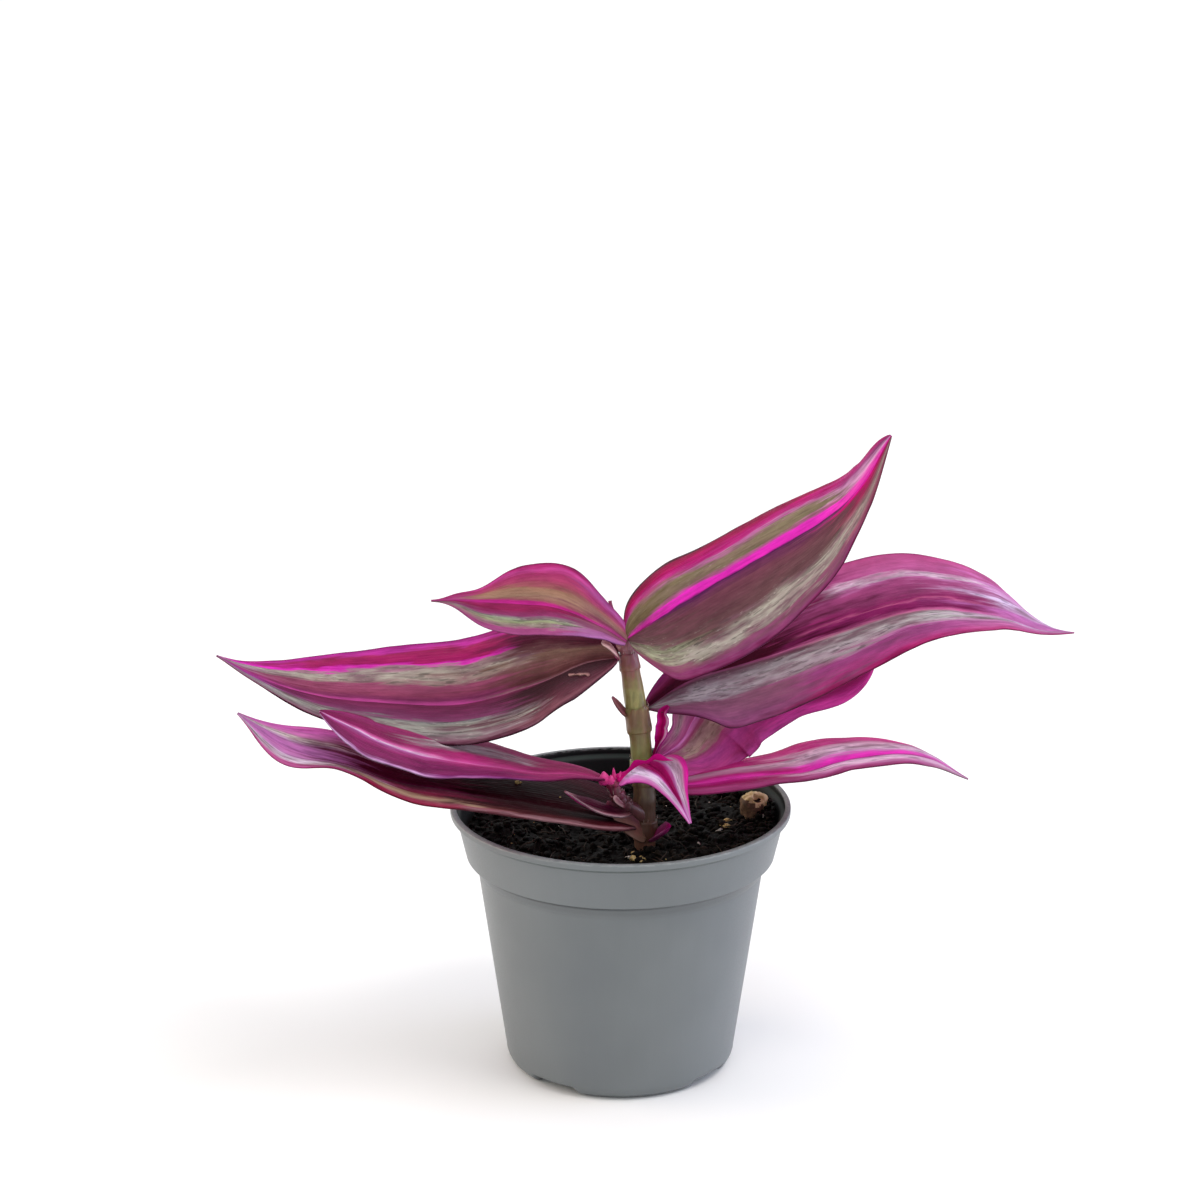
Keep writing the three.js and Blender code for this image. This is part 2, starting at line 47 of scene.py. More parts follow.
# Pot, moulded in grey polypropylene
POT_HEIGHT = 48
RIM_RADIUS = 30
LIP_FOOT_Z = 46.7
LIP_OVERHANG = 1.1
LIP_ROUNDING = 0.4
LIP_WIDTH = 1
COLLAR_FOOT_RADIUS = 27.2
COLLAR_FOOT_Z = 39
COLLAR_LEDGE = 0.6
COLLAR_WALL = 0.8
BODY_TOP_RADIUS = 25.2
BODY_TOP_Z = 36.5
BODY_FOOT_RADIUS = 20.4
BODY_FOOT_Z = 3
WALL = 1.1
FLOOR_TOP_Z = 2.6
INSIDE_CORNER = 2.4
FOOT_RADIUS = 17.8
FOOT_WIDTH = 2.2
FOOT_LIFT = 1.2
FOOT_SLOPE = 0.8
CENTRE_PAD_RADIUS = 6
UNDER_ROUNDING = 0.3
OUTSIDE_ROUNDING = 0.25
INSIDE_ROUNDING = 0.5
NOTCHES = [53, 143, 233, 323]
NOTCH_WIDTH = 8
NOTCH_HEIGHT = 1.9
NOTCH_CORNER = 0.5
NOTCH_INSET = 0.4
DRAIN_RADIUS = 2
DRAIN_DISTANCE = 11
POT_SIDES = 288
WELD_GAP = 0.005

# Soil
SOIL_TOP_Z = 43.4
SOIL_EDGE_RADIUS = 27.3
SOIL_EDGE_DROP = 0.9
SOIL_EDGE_WIDTH = 1.5
SOIL_GAP = 0.3
SOIL_HEAP = (20, -3, 11, 1.4)
SOIL_EDGE_HEAP = (29, 4.5, 5, 3.4)
SOIL_LUMPS = 34
SOIL_LUMP_DISTANCE = 25
SOIL_SEED = 7
CRUMB_SEED = 11
CRUMBS = 1900
CRUMB_SIZES = [0.5, 0.6, 0.8, 0.8, 1.0, 1.3, 1.7]
WALL_CRUMBS = 260
PALE_DUST = 45
FIBRES = 150

# Cut end of an old stem
STUB_PLACE = (23.6, 3.6)
STUB_RADIUS = 2.5
STUB_TOP_Z = 48.6
STUB_FOOT_Z = 41.8
STUB_DOME = 1.7
STUB_BARK_TOP_Z = 47.1

# Stem: the points that it follows, and its radius
STEM = [
    (4.4, -9.8, 28), (4.3, -9.6, 36), (4.2, -9.4, 44), (4.2, -9, 50.5), (3.8, -8.5, 57.5),
    (3.3, -8, 63.5), (2.5, -7, 69), (1.6, -6.5, 75), (0.6, -6, 80), (-1.3, -5, 83.2), (-1.9, -3.9, 86.6),
]
BRANCH = [(4.2, -9.2, 48.5), (2.6, -10.6, 50.6), (0.6, -11.8, 52.4), (-0.8, -12.4, 54.6), (-1.6, -12.6, 57)]
STEM_RADIUS = 1.85
STEM_TOP_RADIUS = 1.2
STEM_TAPER_Z = (70, 82)
BUD_TIP_Z = 86.6
BUD_TIP_RADIUS = 0.3
BRANCH_RADIUS = 1.3
BRANCH_TOP_RADIUS = 1
STEM_NODES = [46.5, 52, 57.5, 64.5, 75.5, 79]
NODE_SWELLING = 0.14
NODE_REACH = 0.9
SHEATH_GAP = 0.05
SHEATH_WALL = 0.22
SHEATH_MOUTH = 0.35
HAIRS_PER_SHEATH = 9
HAIR_SEED = 5

# Leaf blades
BLADE_THICKNESS = 0.55
MARGIN_THICKNESS = 0.2
MARGIN_WIDTH = 0.35
STALK_WIDTH = 1.5
MIDRIB_WIDTH = 0.7
MIDRIB_DEPTH = 0.22
RIPPLE_HEIGHT = 0.22
RIPPLE_LENGTH = 9
SMALL_HALF = 5
FIRST_SPROUT_SEED = 20

# Camera: seen from 17.2 degrees above level, 600 mm from the point that it looks at
VIEW_ELEVATION = 17.2
VIEW_DISTANCE = 600
VIEW_AIM = (-3.6, 0, 85.5)
FOCAL_LENGTH = 104.04
SENSOR = 36


# Numbers and curves

def smoothstep(value, low, high):
    """0 at low, 1 at high, eased in between."""
    share = np.clip((value - low) / (high - low), 0, 1)
    return share * share * (3 - 2 * share)


def spline(points, shares):
    """A smooth line through evenly spaced points, read at shares of its way from 0 to 1."""
    points = np.asarray(points, float)
    last = len(points) - 1
    place = np.clip(shares, 0, 1) * last
    index = np.minimum(np.floor(place).astype(int), last - 1)
    t = (place - index)[:, None]
    ends = np.vstack([2 * points[0] - points[1], points, 2 * points[-1] - points[-2]])
    before, start, end, after = (ends[index + k] for k in range(4))
    leave, arrive = (end - before) / 2, (after - start) / 2
    held = (2 * t**3 - 3 * t**2 + 1) * start + (-2 * t**3 + 3 * t**2) * end
    return held + (t**3 - 2 * t**2 + t) * leave + (t**3 - t**2) * arrive


def along_leaf(values, shares):
    """A value given once, or at even steps from a leaf's base to its tip."""
    if np.isscalar(values):
        return np.full(len(shares), float(values))
    return spline([[v] for v in values], shares)[:, 0]


def unit(vectors):
    return vectors / np.linalg.norm(vectors, axis=-1, keepdims=True)


def polar(distance, angle):
    return distance * math.cos(angle), distance * math.sin(angle)


def round_angles(sides):
    return np.linspace(0, 2 * math.pi, sides, endpoint=False)


def uneven(x, y, z):
    """Smooth noise at a place, from about -1 to 1."""
    return noise.noise(Vector((x, y, z)))


def grid_faces(rows, columns, start=0, closed=False):
    """Quads between the points of a grid, which runs round and closes where it is told to."""
    spans = columns if closed else columns - 1
    i, k = np.meshgrid(np.arange(rows - 1), np.arange(spans), indexing="ij")
    a = i * columns + k
    b = i * columns + (k + 1) % columns
    return (np.stack([a, b, b + columns, a + columns], -1).reshape(-1, 4) + start).tolist()


# Making an object

def new_mesh(name, points, faces, materials=()):
    mesh = bpy.data.meshes.new(name)
    mesh.from_pydata((np.asarray(points, float) * MM).tolist(), [], faces)
    for material in materials:
        mesh.materials.append(material)
    return mesh


def new_object(name, data):
    made = bpy.data.objects.new(name, data)
    bpy.context.scene.collection.objects.link(made)
    return made


def make_piece(name, points, faces, materials, slot, stands_for=(), kinds=None, place=None):
    """One object of the plant. kinds gives each face its material, and place gives each point its place
    on the surface."""
    mesh = new_mesh(name, points, faces, materials)
    if kinds is not None:
        mesh.polygons.foreach_set("material_index", np.asarray(kinds, np.int32))
    if place is not None:
        layer = mesh.uv_layers.new(name="surface")
        corners = np.zeros(len(mesh.loops), np.int32)
        mesh.loops.foreach_get("vertex_index", corners)
        layer.data.foreach_set("uv", np.asarray(place, np.float32)[corners].ravel())
    mesh.polygons.foreach_set("use_smooth", np.ones(len(mesh.polygons), bool))
    mesh.validate()
    mesh.update()
    piece = new_object(name, mesh)
    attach(piece, BODY)
    if stands_for:
        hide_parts(*stands_for)
    return piece


def lathe(profile, sides):
    """Points of a profile turned round Z, as a closed grid of rings."""
    turn = round_angles(sides)
    rings = [np.stack([r * np.cos(turn), r * np.sin(turn), np.full(sides, z)], 1) for r, z in profile]
    return np.concatenate(rings)


def rounded(corners, rounding, steps=4):
    """A profile whose corners are rounded, each by a bend that starts `rounding` millimetres away."""
    corners = [np.array(c, float) for c in corners]
    made = [corners[0]]
    for before, corner, after in zip(corners, corners[1:], corners[2:]):
        back, on = before - corner, after - corner
        cut = min(rounding, np.linalg.norm(back) / 2, np.linalg.norm(on) / 2)
        start, end = corner + unit(back) * cut, corner + unit(on) * cut
        for t in np.linspace(0, 1, steps + 1):
            made.append((1 - t) ** 2 * start + 2 * t * (1 - t) * corner + t**2 * end)
    return made + [corners[-1]]


def tube(path, radii, sides):
    """Points and faces of a round limb along a line of points, closed at both ends. A ring's radius is one
    number or one for each side."""
    path = np.asarray(path, float)
    forward = unit(np.gradient(path, axis=0))
    side = unit(np.cross(forward, [0.3, 1, 0.2]))
    over = np.cross(forward, side)
    turn = round_angles(sides)
    out = np.cos(turn)[None, :, None] * side[:, None] + np.sin(turn)[None, :, None] * over[:, None]
    radii = np.asarray(radii, float)
    radii = radii[:, None] if radii.ndim == 1 else radii
    points = (path[:, None] + out * radii[..., None]).reshape(-1, 3)
    faces = grid_faces(len(path), sides, closed=True)
    for ring, order in ((0, -1), (len(path) - 1, 1)):
        centre = len(points)
        points = np.vstack([points, path[ring]])
        for k in range(sides):
            a, b = ring * sides + k, ring * sides + (k + 1) % sides
            faces.append([a, b, centre][::order])
    return points, faces


class Batch:
    """Several small closed shapes gathered in one mesh."""

    def __init__(self):
        self.points, self.faces, self.kinds, self.count = [], [], [], 0

    def add(self, points, faces, kind=0):
        self.points.append(np.asarray(points, float))
        self.faces.extend([[i + self.count for i in face] for face in faces])
        self.kinds.extend([kind] * len(faces))
        self.count += len(points)

    def piece(self, name, materials, slot, stands_for=()):
        points = np.concatenate(self.points)
        return make_piece(name, points, self.faces, materials, slot, stands_for, self.kinds)


# Materials

# Noise keeps mostly to the first span, and hardly ever leaves the second.
NOISE_SPAN = (0.3, 0.7)
WHOLE_NOISE_SPAN = (0.2, 0.8)

# A Mix node's sockets and settings when it lays one colour over another, and an eased Map Range
SHARE, UNDER, OVER = 0, 6, 7
COLOURS = {"data_type": "RGBA", "output": 2}
EASED = {"interpolation_type": "SMOOTHSTEP"}


def linear(hex_colour):
    """An sRGB colour written as six hex digits, as linear RGBA."""
    parts = [int(hex_colour[i:i + 2], 16) / 255 for i in (0, 2, 4)]
    return tuple(c / 12.92 if c <= 0.04045 else ((c + 0.055) / 1.055) ** 2.4 for c in parts) + (1.0,)


def stops_of(text):
    """Places and their hex colours, from a text such as "0 806040, 1 c0a080"."""
    return [(float(place), colour) for place, colour in (stop.split() for stop in text.split(","))]


def fill(tree, socket, value):
    """Links a socket to another node's output, or gives it a value."""
    if isinstance(value, bpy.types.NodeSocket):
        tree.links.new(value, socket)
    else:
        socket.default_value = value


def add_node(tree, kind, inputs=(), output=0, stops=(), **settings):
    """Adds a shader node with its settings and links, and gives one of its outputs. inputs are in the
    sockets' order or by name. stops are a colour ramp's."""
    made = tree.nodes.new("ShaderNode" + kind)
    for name, value in settings.items():
        setattr(made, name, value)
    for socket, value in inputs.items() if isinstance(inputs, dict) else enumerate(inputs):
        fill(tree, made.inputs[socket], value)
    for k, (position, colour) in enumerate(sorted(stops)):
        elements = made.color_ramp.elements
        element = elements[k] if k < len(elements) else elements.new(position)
        element.position, element.color = position, linear(colour)
    return made.outputs[output]


def set_shader(material, **sockets):
    """Gives sockets of the material's Principled shader their values or links."""
    tree = material.node_tree
    for name, value in sockets.items():
        fill(tree, tree.nodes["Principled BSDF"].inputs[name.replace("_", " ")], value)


def new_material(name, ior, roughness, **constants):
    """A material, and the function that adds its nodes. What is the same all over is set on its shader."""
    material = bpy.data.materials.new(name)
    material.use_nodes = True
    set_shader(material, IOR=ior, Roughness=roughness, **constants)
    return material, functools.partial(add_node, material.node_tree)


def grain(add, place, sizes, detail=2, roughness=0.5):
    """An uneven pattern over a place in metres. sizes are how many millimetres its features measure, given
    once or for each axis."""
    scale = [1 / (size * MM) for size in np.broadcast_to(sizes, 3)]
    spread = add("Mapping", {"Vector": place, "Scale": scale})
    return add("TexNoise", {"Vector": spread, "Scale": 1, "Detail": detail, "Roughness": roughness})


# The finest veins lie closer than this, and would be too fine to show.
VEIN_SPACING = 0.55

# How bright the tissue is beside the bands' colours, and its margin beside the rest
TISSUE_TONE = 0.86
MARGIN_TONE = 0.45

# Colours of thin pale tissue, where the flesh shows through, and of the painted glints in it
DUSK = "74465c"
PAINTED_GLINT = "d8ccc4"


def leaf_material(name, length, width, middle, base, tip, tip_from=0.72, base_to=0.15, dusk=DUSK):
    """Living leaf tissue, satin from its cuticle, with pale bands of air-filled cells that run with the
    veins. width is half the leaf's. middle, base and tip are its bands, as the table of leaves has them."""
    material, add = new_material(name, ior=1.42, roughness=0.45, Specular_IOR_Level=0.06)
    surface = add("UVMap", uv_map="surface")
    along, across = (add("SeparateXYZ", [surface], output=axis) for axis in "XY")
    flat = add("Mapping", {"Vector": surface, "Scale": (length * MM, 2 * width * MM, 1)})

    def tissue(step_along, step_across, detail=2):
        return grain(add, flat, (step_along, step_across, 1), detail, 0.6)

    streak, dash, blotch = tissue(13, 1.3, 3), tissue(3.6, 0.55), tissue(11, 3.2)
    cloud, speck, thin_spots = tissue(4.5, 1.8, 3), tissue(1.2, 0.5), tissue(8, 2.4, 3)

    # The bands sway, and those near the midrib are straighter than the others.
    sway = 0
    for pattern, most in ((streak, 0.02), (dash, 0.014), (blotch, 0.028)):
        sway = add("Math", [sway, add("MapRange", [pattern, *NOISE_SPAN, -most, most])])
    off_middle = add("Math", [add("Math", [across, 0.5], operation="SUBTRACT")], operation="ABSOLUTE")
    freedom = add("MapRange", [off_middle, 0.02, 0.14, 0.3, 1])
    shift = add("Math", [sway, freedom, across], operation="MULTIPLY_ADD")
    middle, base, tip = (
        add("ValToRGB", [shift], stops=[((place + 1) / 2, colour) for place, colour in stops_of(bands)])
        for bands in (middle, base, tip)
    )

    # The three sets of bands run into one another in ragged streaks.
    ragged = add("Math", [along, add("MapRange", [streak, *NOISE_SPAN, -0.12, 0.12])])
    near_tip = add("MapRange", [ragged, tip_from, tip_from + 0.2], **EASED)
    near_base = add("MapRange", [ragged, base_to + 0.1, base_to - 0.1], **EASED)
    colour = add("Mix", {SHARE: near_base, UNDER: middle, OVER: base}, **COLOURS)
    colour = add("Mix", {SHARE: near_tip, UNDER: colour, OVER: tip}, **COLOURS)

    # Pale tissue is the least saturated. It is thin in places, and clouds and short dark strokes break it.
    saturation = add("SeparateColor", [colour], output="Green", mode="HSV")
    pale = add("MapRange", [saturation, 0.62, 0.3], **EASED)
    thin = add("Math", [pale, add("MapRange", [thin_spots, 0.44, 0.64, 0, 0.7])], operation="MULTIPLY")
    colour = add("Mix", {SHARE: thin, UNDER: colour, OVER: linear(dusk)}, **COLOURS)
    pale = add("Math", [pale, add("Math", [1, thin], operation="SUBTRACT")], operation="MULTIPLY")
    strokes = add("MapRange", [dash, 0.53, 0.62, 0, 0.5], **EASED)
    broken = add("Math", [strokes, add("MapRange", [cloud, 0.5, 0.68, 0, 0.3], **EASED)])
    broken = add("Math", [broken, pale], operation="MULTIPLY")
    bright = add("Math", [add("MapRange", [pale, 0, 1, 1, 1.1]), broken], operation="SUBTRACT")
    threads = add("MapRange", [streak, 0.25, 0.75, 0.8, 1.2])
    mottle = add("MapRange", [cloud, *NOISE_SPAN, 0.78, 1.2])
    # The margin is a fine dark line.
    margin = add("MapRange", [off_middle, 0.486, 0.5, 1, MARGIN_TONE])
    tone = TISSUE_TONE
    for factor in (threads, mottle, bright, margin):
        tone = add("Math", [tone, factor], operation="MULTIPLY")
    toned = add("HueSaturation", {"Color": colour, "Value": tone, "Saturation": 1.02})
    # Specks are painted pale as glints of light off air-filled cells, most of all where the tissue is pale.
    painted_glints = add("MapRange", [speck, 0.6, 0.72], **EASED)
    painted_glints = add("Math", [painted_glints, add("MapRange", [pale, 0, 1, 0.015, 0.32])], operation="MULTIPLY")
    toned = add("Mix", {SHARE: painted_glints, UNDER: toned, OVER: linear(PAINTED_GLINT)}, **COLOURS)

    turns = add("Math", [across, 2 * math.pi * 2 * width / VEIN_SPACING], operation="MULTIPLY")
    relief = add("MapRange", [add("Math", [turns], operation="SINE"), -1, 1, 0, 0.6])
    for pattern, most in ((speck, 1.4), (streak, 2), (cloud, 2.5)):
        relief = add("Math", [relief, add("MapRange", [pattern, *WHOLE_NOISE_SPAN, 0, most])])
    set_shader(
        material, Base_Color=toned, Roughness=add("MapRange", [speck, *NOISE_SPAN, 0.36, 0.54]),
        Normal=add("Bump", {"Height": relief, "Distance": 0.05 * MM, "Strength": 0.7}))
    return material


def tinted(add, pattern, *colours):
    """Colours that run in even steps from the first, where a pattern is least, to the last."""
    share = add("MapRange", [pattern, *NOISE_SPAN])
    return add("ValToRGB", [share], stops=[(k / (len(colours) - 1), c) for k, c in enumerate(colours)])


def underside_material(name, dark, bright):
    """The plain lower side of the leaf, without pale bands: maroon to magenta, with fine even veins."""
    material, add = new_material(name, ior=1.42, roughness=0.5)
    # Veins 0.6 mm wide in streaks of 10 mm, on a leaf of about 60 by 20 mm
    flat = add("Mapping", {"Vector": add("UVMap", uv_map="surface"), "Scale": (60 * MM, 20.4 * MM, 1)})
    streak = grain(add, flat, (10, 0.6, 1), 3, 0.6)
    relief = add("Bump", {"Height": streak, "Distance": 0.08 * MM, "Strength": 0.5})
    set_shader(material, Base_Color=tinted(add, streak, dark, bright), Normal=relief)
    return material


def stem_material(name, heights):
    """Smooth fleshy stem with a faint bloom. Its colours are given by height: olive green where it is young,
    flushed crimson above and brown at the nodes."""
    material, add = new_material(
        name, ior=1.42, roughness=0.4, Subsurface_Weight=0.12, Subsurface_Scale=1 * MM, Coat_Weight=0.1)
    point = add("TexCoord", output="Object")
    streak = grain(add, point, (0.714, 0.714, 6.25), 3, 0.6)
    blotch = grain(add, point, 2.38)
    height = add("SeparateXYZ", [point], output="Z")
    for pattern, most in ((blotch, 1.6 * MM), (streak, 1 * MM)):
        height = add("Math", [height, add("MapRange", [pattern, *NOISE_SPAN, -most, most])])
    low, high = heights[0][0], heights[-1][0]
    share = add("MapRange", [height, low * MM, high * MM])
    colour = add("ValToRGB", [share], stops=[((z - low) / (high - low), c) for z, c in heights])
    tone = add("MapRange", [streak, *NOISE_SPAN, 0.72, 1.16])
    relief = add("Bump", {"Height": streak, "Distance": 0.06 * MM, "Strength": 0.6})
    set_shader(material, Base_Color=add("HueSaturation", {"Color": colour, "Value": tone}), Normal=relief)
    return material


def pot_material(name, colour, pale, dark, roughness, shine=0.4):
    """Injection-moulded polypropylene with a satin grain: small pits, faint flow marks, pale scuffs, with
    painted shade under the collar and the lip and a painted highlight on the rim's edge.
    """
    material, add = new_material(name, ior=1.49, roughness=roughness, Specular_IOR_Level=shine)
    point = add("TexCoord", output="Object")
    height = add("SeparateXYZ", [point], output="Z")
    cloud = grain(add, point, 22.2)
    flow_marks = grain(add, point, (2, 2, 33.3))
    scuffs = grain(add, point, (1.43, 1.43, 0.4545), 4, 0.7)
    # A mould's own grain is finer than this, and would be too fine to show.
    pits = grain(add, point, 0.222)
    marks = add("MapRange", [flow_marks, *NOISE_SPAN, 0.99, 1.01])
    toned = add("HueSaturation", {"Color": tinted(add, cloud, dark, colour, pale), "Value": marks})

    def between(rise, fall):
        """A share that rises over one stretch of heights and falls over another."""
        up, down = (add("MapRange", [height, start * MM, end * MM], **EASED) for start, end in (rise, fall))
        return add("Math", [up, down], operation="MULTIPLY")

    # Shade is painted in the corner under the collar and, thinner, on the slope below it.
    ledge_end = (COLLAR_FOOT_Z + 0.05, COLLAR_FOOT_Z - 0.1)
    corner = between((COLLAR_FOOT_Z - 1.2, COLLAR_FOOT_Z - 0.25), ledge_end)
    slope = between((BODY_TOP_Z - 0.7, BODY_TOP_Z + 1.1), ledge_end)
    collar_painted_shade = add("Math", [corner, add("MapRange", [cloud, *NOISE_SPAN, 0.5, 0.95])], operation="MULTIPLY")
    collar_painted_shade = add("Math", [collar_painted_shade, add("Math", [slope, 0.3], operation="MULTIPLY")], operation="MAXIMUM")
    # A thin line of painted shade lies under the lip.
    line = between((LIP_FOOT_Z - 0.6, LIP_FOOT_Z - 0.2), (LIP_FOOT_Z + 0.35, LIP_FOOT_Z + 0.1))
    line = add("Math", [line, add("MapRange", [cloud, 0.35, 0.6, 0.35, 0.8])], operation="MULTIPLY")
    # The rim's top edge is painted pale as a highlight, broken by the scuff pattern.
    edge = add("MapRange", [height, (POT_HEIGHT - 0.45) * MM, (POT_HEIGHT - 0.1) * MM], **EASED)
    rim_painted_highlight = add("Math", [edge, add("MapRange", [scuffs, 0.4, 0.65, 0, 0.45])], operation="MULTIPLY")
    worn = add("MapRange", [scuffs, 0.68, 0.8, 0, 0.25])
    # Over the grey go random pale wear, the painted shade under the collar and under the lip, and the rim's
    # painted highlight.
    for share, over in ((worn, pale), (collar_painted_shade, "2c3032"), (line, "34403c"), (rim_painted_highlight, "9a9c9c")):
        toned = add("Mix", {SHARE: share, UNDER: toned, OVER: linear(over)}, **COLOURS)
    set_shader(
        material, Base_Color=toned,
        Roughness=add("MapRange", [pits, *NOISE_SPAN, roughness - 0.05, roughness + 0.06]),
        Normal=add("Bump", {"Height": pits, "Distance": 0.03 * MM, "Strength": 0.35}))
    return material


def soil_material(name, stops, size, roughness=0.9):
    """Damp decomposed peat: nearly black fibres and crumbs with browner dry ones, in grains of a size."""
    material, add = new_material(name, ior=1.4, roughness=roughness, Specular_IOR_Level=0.18)
    point = add("TexCoord", output="Object")
    patches = grain(add, point, 6.25)
    crumbs = grain(add, point, size, 4, 0.65)
    share = add("MapRange", [crumbs, 0.3, 0.72, 0, 0.8])
    share = add("Math", [share, add("MapRange", [patches, *NOISE_SPAN, -0.1, 0.2])])
    set_shader(
        material, Base_Color=add("ValToRGB", [share], stops=stops_of(stops)),
        Roughness=add("MapRange", [patches, 0.35, 0.65, roughness - 0.3, roughness]),
        Normal=add("Bump", {"Height": crumbs, "Distance": 0.3 * MM, "Strength": 0.9}))
    return material


def speckled_material(name, low, high, size, roughness, relief=0.1):
    """A small natural piece with two tones that mingle in grains of the given size."""
    material, add = new_material(name, ior=1.45, roughness=roughness)
    grains = grain(add, add("TexCoord", output="Object"), size, 3, 0.6)
    bumps = add("Bump", {"Height": grains, "Distance": relief * MM, "Strength": 0.7})
    set_shader(material, Base_Color=tinted(add, grains, low, high), Normal=bumps)
    return material


# Pot

def pot_profile():
    """The pot's outer face from the centre of its underside to the rim, then its inner face down."""
    collar_top = RIM_RADIUS - LIP_OVERHANG
    foot_inside = FOOT_RADIUS - FOOT_WIDTH
    bevel = [
        (FOOT_RADIUS + (BODY_FOOT_RADIUS - FOOT_RADIUS) * math.sin(t), BODY_FOOT_Z * (1 - math.cos(t)))
        for t in np.linspace(0, math.pi / 2, 9)
    ]
    under = rounded([
        (0, 0), (CENTRE_PAD_RADIUS, 0), (CENTRE_PAD_RADIUS + FOOT_SLOPE, FOOT_LIFT),
        (foot_inside - FOOT_SLOPE, FOOT_LIFT), (foot_inside, 0), bevel[0],
    ], UNDER_ROUNDING)
    outside = rounded([
        bevel[-1], (BODY_TOP_RADIUS, BODY_TOP_Z),
        (COLLAR_FOOT_RADIUS - COLLAR_LEDGE, COLLAR_FOOT_Z - COLLAR_LEDGE / 2),
        (COLLAR_FOOT_RADIUS, COLLAR_FOOT_Z), (collar_top, LIP_FOOT_Z - LIP_ROUNDING),
        (RIM_RADIUS, LIP_FOOT_Z + LIP_ROUNDING / 2), (RIM_RADIUS, POT_HEIGHT),
        (RIM_RADIUS - LIP_WIDTH, POT_HEIGHT),
    ], OUTSIDE_ROUNDING)
    inside = rounded([
        outside[-1], (RIM_RADIUS - LIP_WIDTH, LIP_FOOT_Z),
        (collar_top - COLLAR_WALL, LIP_FOOT_Z - LIP_ROUNDING),
        (COLLAR_FOOT_RADIUS - COLLAR_WALL, COLLAR_FOOT_Z), (BODY_TOP_RADIUS - WALL, BODY_TOP_Z),
        (FOOT_RADIUS - WALL + INSIDE_CORNER, FLOOR_TOP_Z + INSIDE_CORNER), (FOOT_RADIUS - WALL, FLOOR_TOP_Z),
        (0, FLOOR_TOP_Z),
    ], INSIDE_ROUNDING)
    foot, top = np.array(bevel[-1]), np.array([BODY_TOP_RADIUS, BODY_TOP_Z])
    body = [foot + (top - foot) * t for t in np.linspace(0.1, 0.9, 9)]
    return under + bevel[1:] + body + outside[1:], inside[1:]


def make_pot():
    outer, inner = pot_profile()
    points = lathe(outer + inner, POT_SIDES)
    radius = np.hypot(points[:, 0], points[:, 1])
    degrees = np.degrees(np.arctan2(points[:, 1], points[:, 0]))
    # The foot is raised over the width of each notch, with a short curve at the notch's corners.
    foot = (radius > FOOT_RADIUS - FOOT_WIDTH - NOTCH_INSET) & (points[:, 2] < NOTCH_HEIGHT)
    foot &= np.arange(len(points)) < len(outer) * POT_SIDES
    for middle in NOTCHES:
        off = np.radians((degrees - middle + 180) % 360 - 180) * FOOT_RADIUS
        raised = 1 - smoothstep(np.abs(off), NOTCH_WIDTH / 2 - NOTCH_CORNER, NOTCH_WIDTH / 2 + NOTCH_CORNER)
        points[foot, 2] += ((NOTCH_HEIGHT - points[:, 2]) * raised)[foot]
    faces = grid_faces(len(outer) + len(inner), POT_SIDES, closed=True)
    kinds = [int(i // POT_SIDES >= len(outer) - 1) for i in range(len(faces))]
    grey = pot_material("moulded_grey_polypropylene", "6e7375", "727779", "6a6f72", 0.42)
    # The inner face is dark plastic, and its near-black colour is also painted shade inside the pot.
    dark = pot_material("dark_inner_polypropylene_and_painted_shade", "0d0e10", "121316", "090a0b", 0.6, 0.2)
    pot = make_piece("pot_shell", points, faces, [grey, dark], "pot", ("pot",), kinds)
    weld = pot.modifiers.new("weld", "WELD")
    weld.merge_threshold = WELD_GAP * MM
    apply_modifiers(pot)
    drill_drains(pot)


def apply_modifiers(piece):
    """Puts what the modifiers make in the piece's own mesh."""
    evaluated = piece.evaluated_get(bpy.context.evaluated_depsgraph_get())
    mesh = bpy.data.meshes.new_from_object(evaluated)
    piece.modifiers.clear()
    piece.data = mesh


def drill_drains(pot):
    drills = Batch()
    for degrees in NOTCHES:
        x, y = polar(DRAIN_DISTANCE, math.radians(degrees))
        drills.add(*tube([(x, y, -2), (x, y, FLOOR_TOP_Z + 2)], [DRAIN_RADIUS] * 2, 40))
    cutter = new_object("drains", new_mesh("drains", np.concatenate(drills.points), drills.faces))
    cut = pot.modifiers.new("drains", "BOOLEAN")
    cut.operation, cut.object, cut.solver = "DIFFERENCE", cutter, "EXACT"
    bpy.context.view_layer.update()
    apply_modifiers(pot)
    bpy.data.objects.remove(cutter)


# Soil

def lump_draws(seed):
    """Even draws from 0 to 1. The solids' source draws the same ones."""
    state = seed
    while True:
        state = (state * 16807) % 2147483647
        yield state / 2147483647


def soil_lumps():
    draw = lump_draws(SOIL_SEED)
    lumps = [SOIL_HEAP, SOIL_EDGE_HEAP]
    for _ in range(SOIL_LUMPS):
        place = polar(SOIL_LUMP_DISTANCE * math.sqrt(next(draw)), 2 * math.pi * next(draw))
        lumps.append((*place, 1.6 + 2.4 * next(draw), -0.4 + 1.9 * next(draw)))
    return lumps


LUMPS = soil_lumps()


def soil_height(x, y):
    """The soil's top, with its heap at the right, small lumps and hollows, and a fine crumb texture."""
    height = SOIL_TOP_Z
    for lump_x, lump_y, reach, rise in LUMPS:
        height += rise * math.exp(-((x - lump_x) ** 2 + (y - lump_y) ** 2) / reach**2)
    crumbs = noise.fractal(Vector((x / 2.2, y / 2.2, 5)), 0.8, 2.1, 5)
    return height + 0.5 * crumbs + 0.5 * uneven(x / 5, y / 5, 11) - 0.2


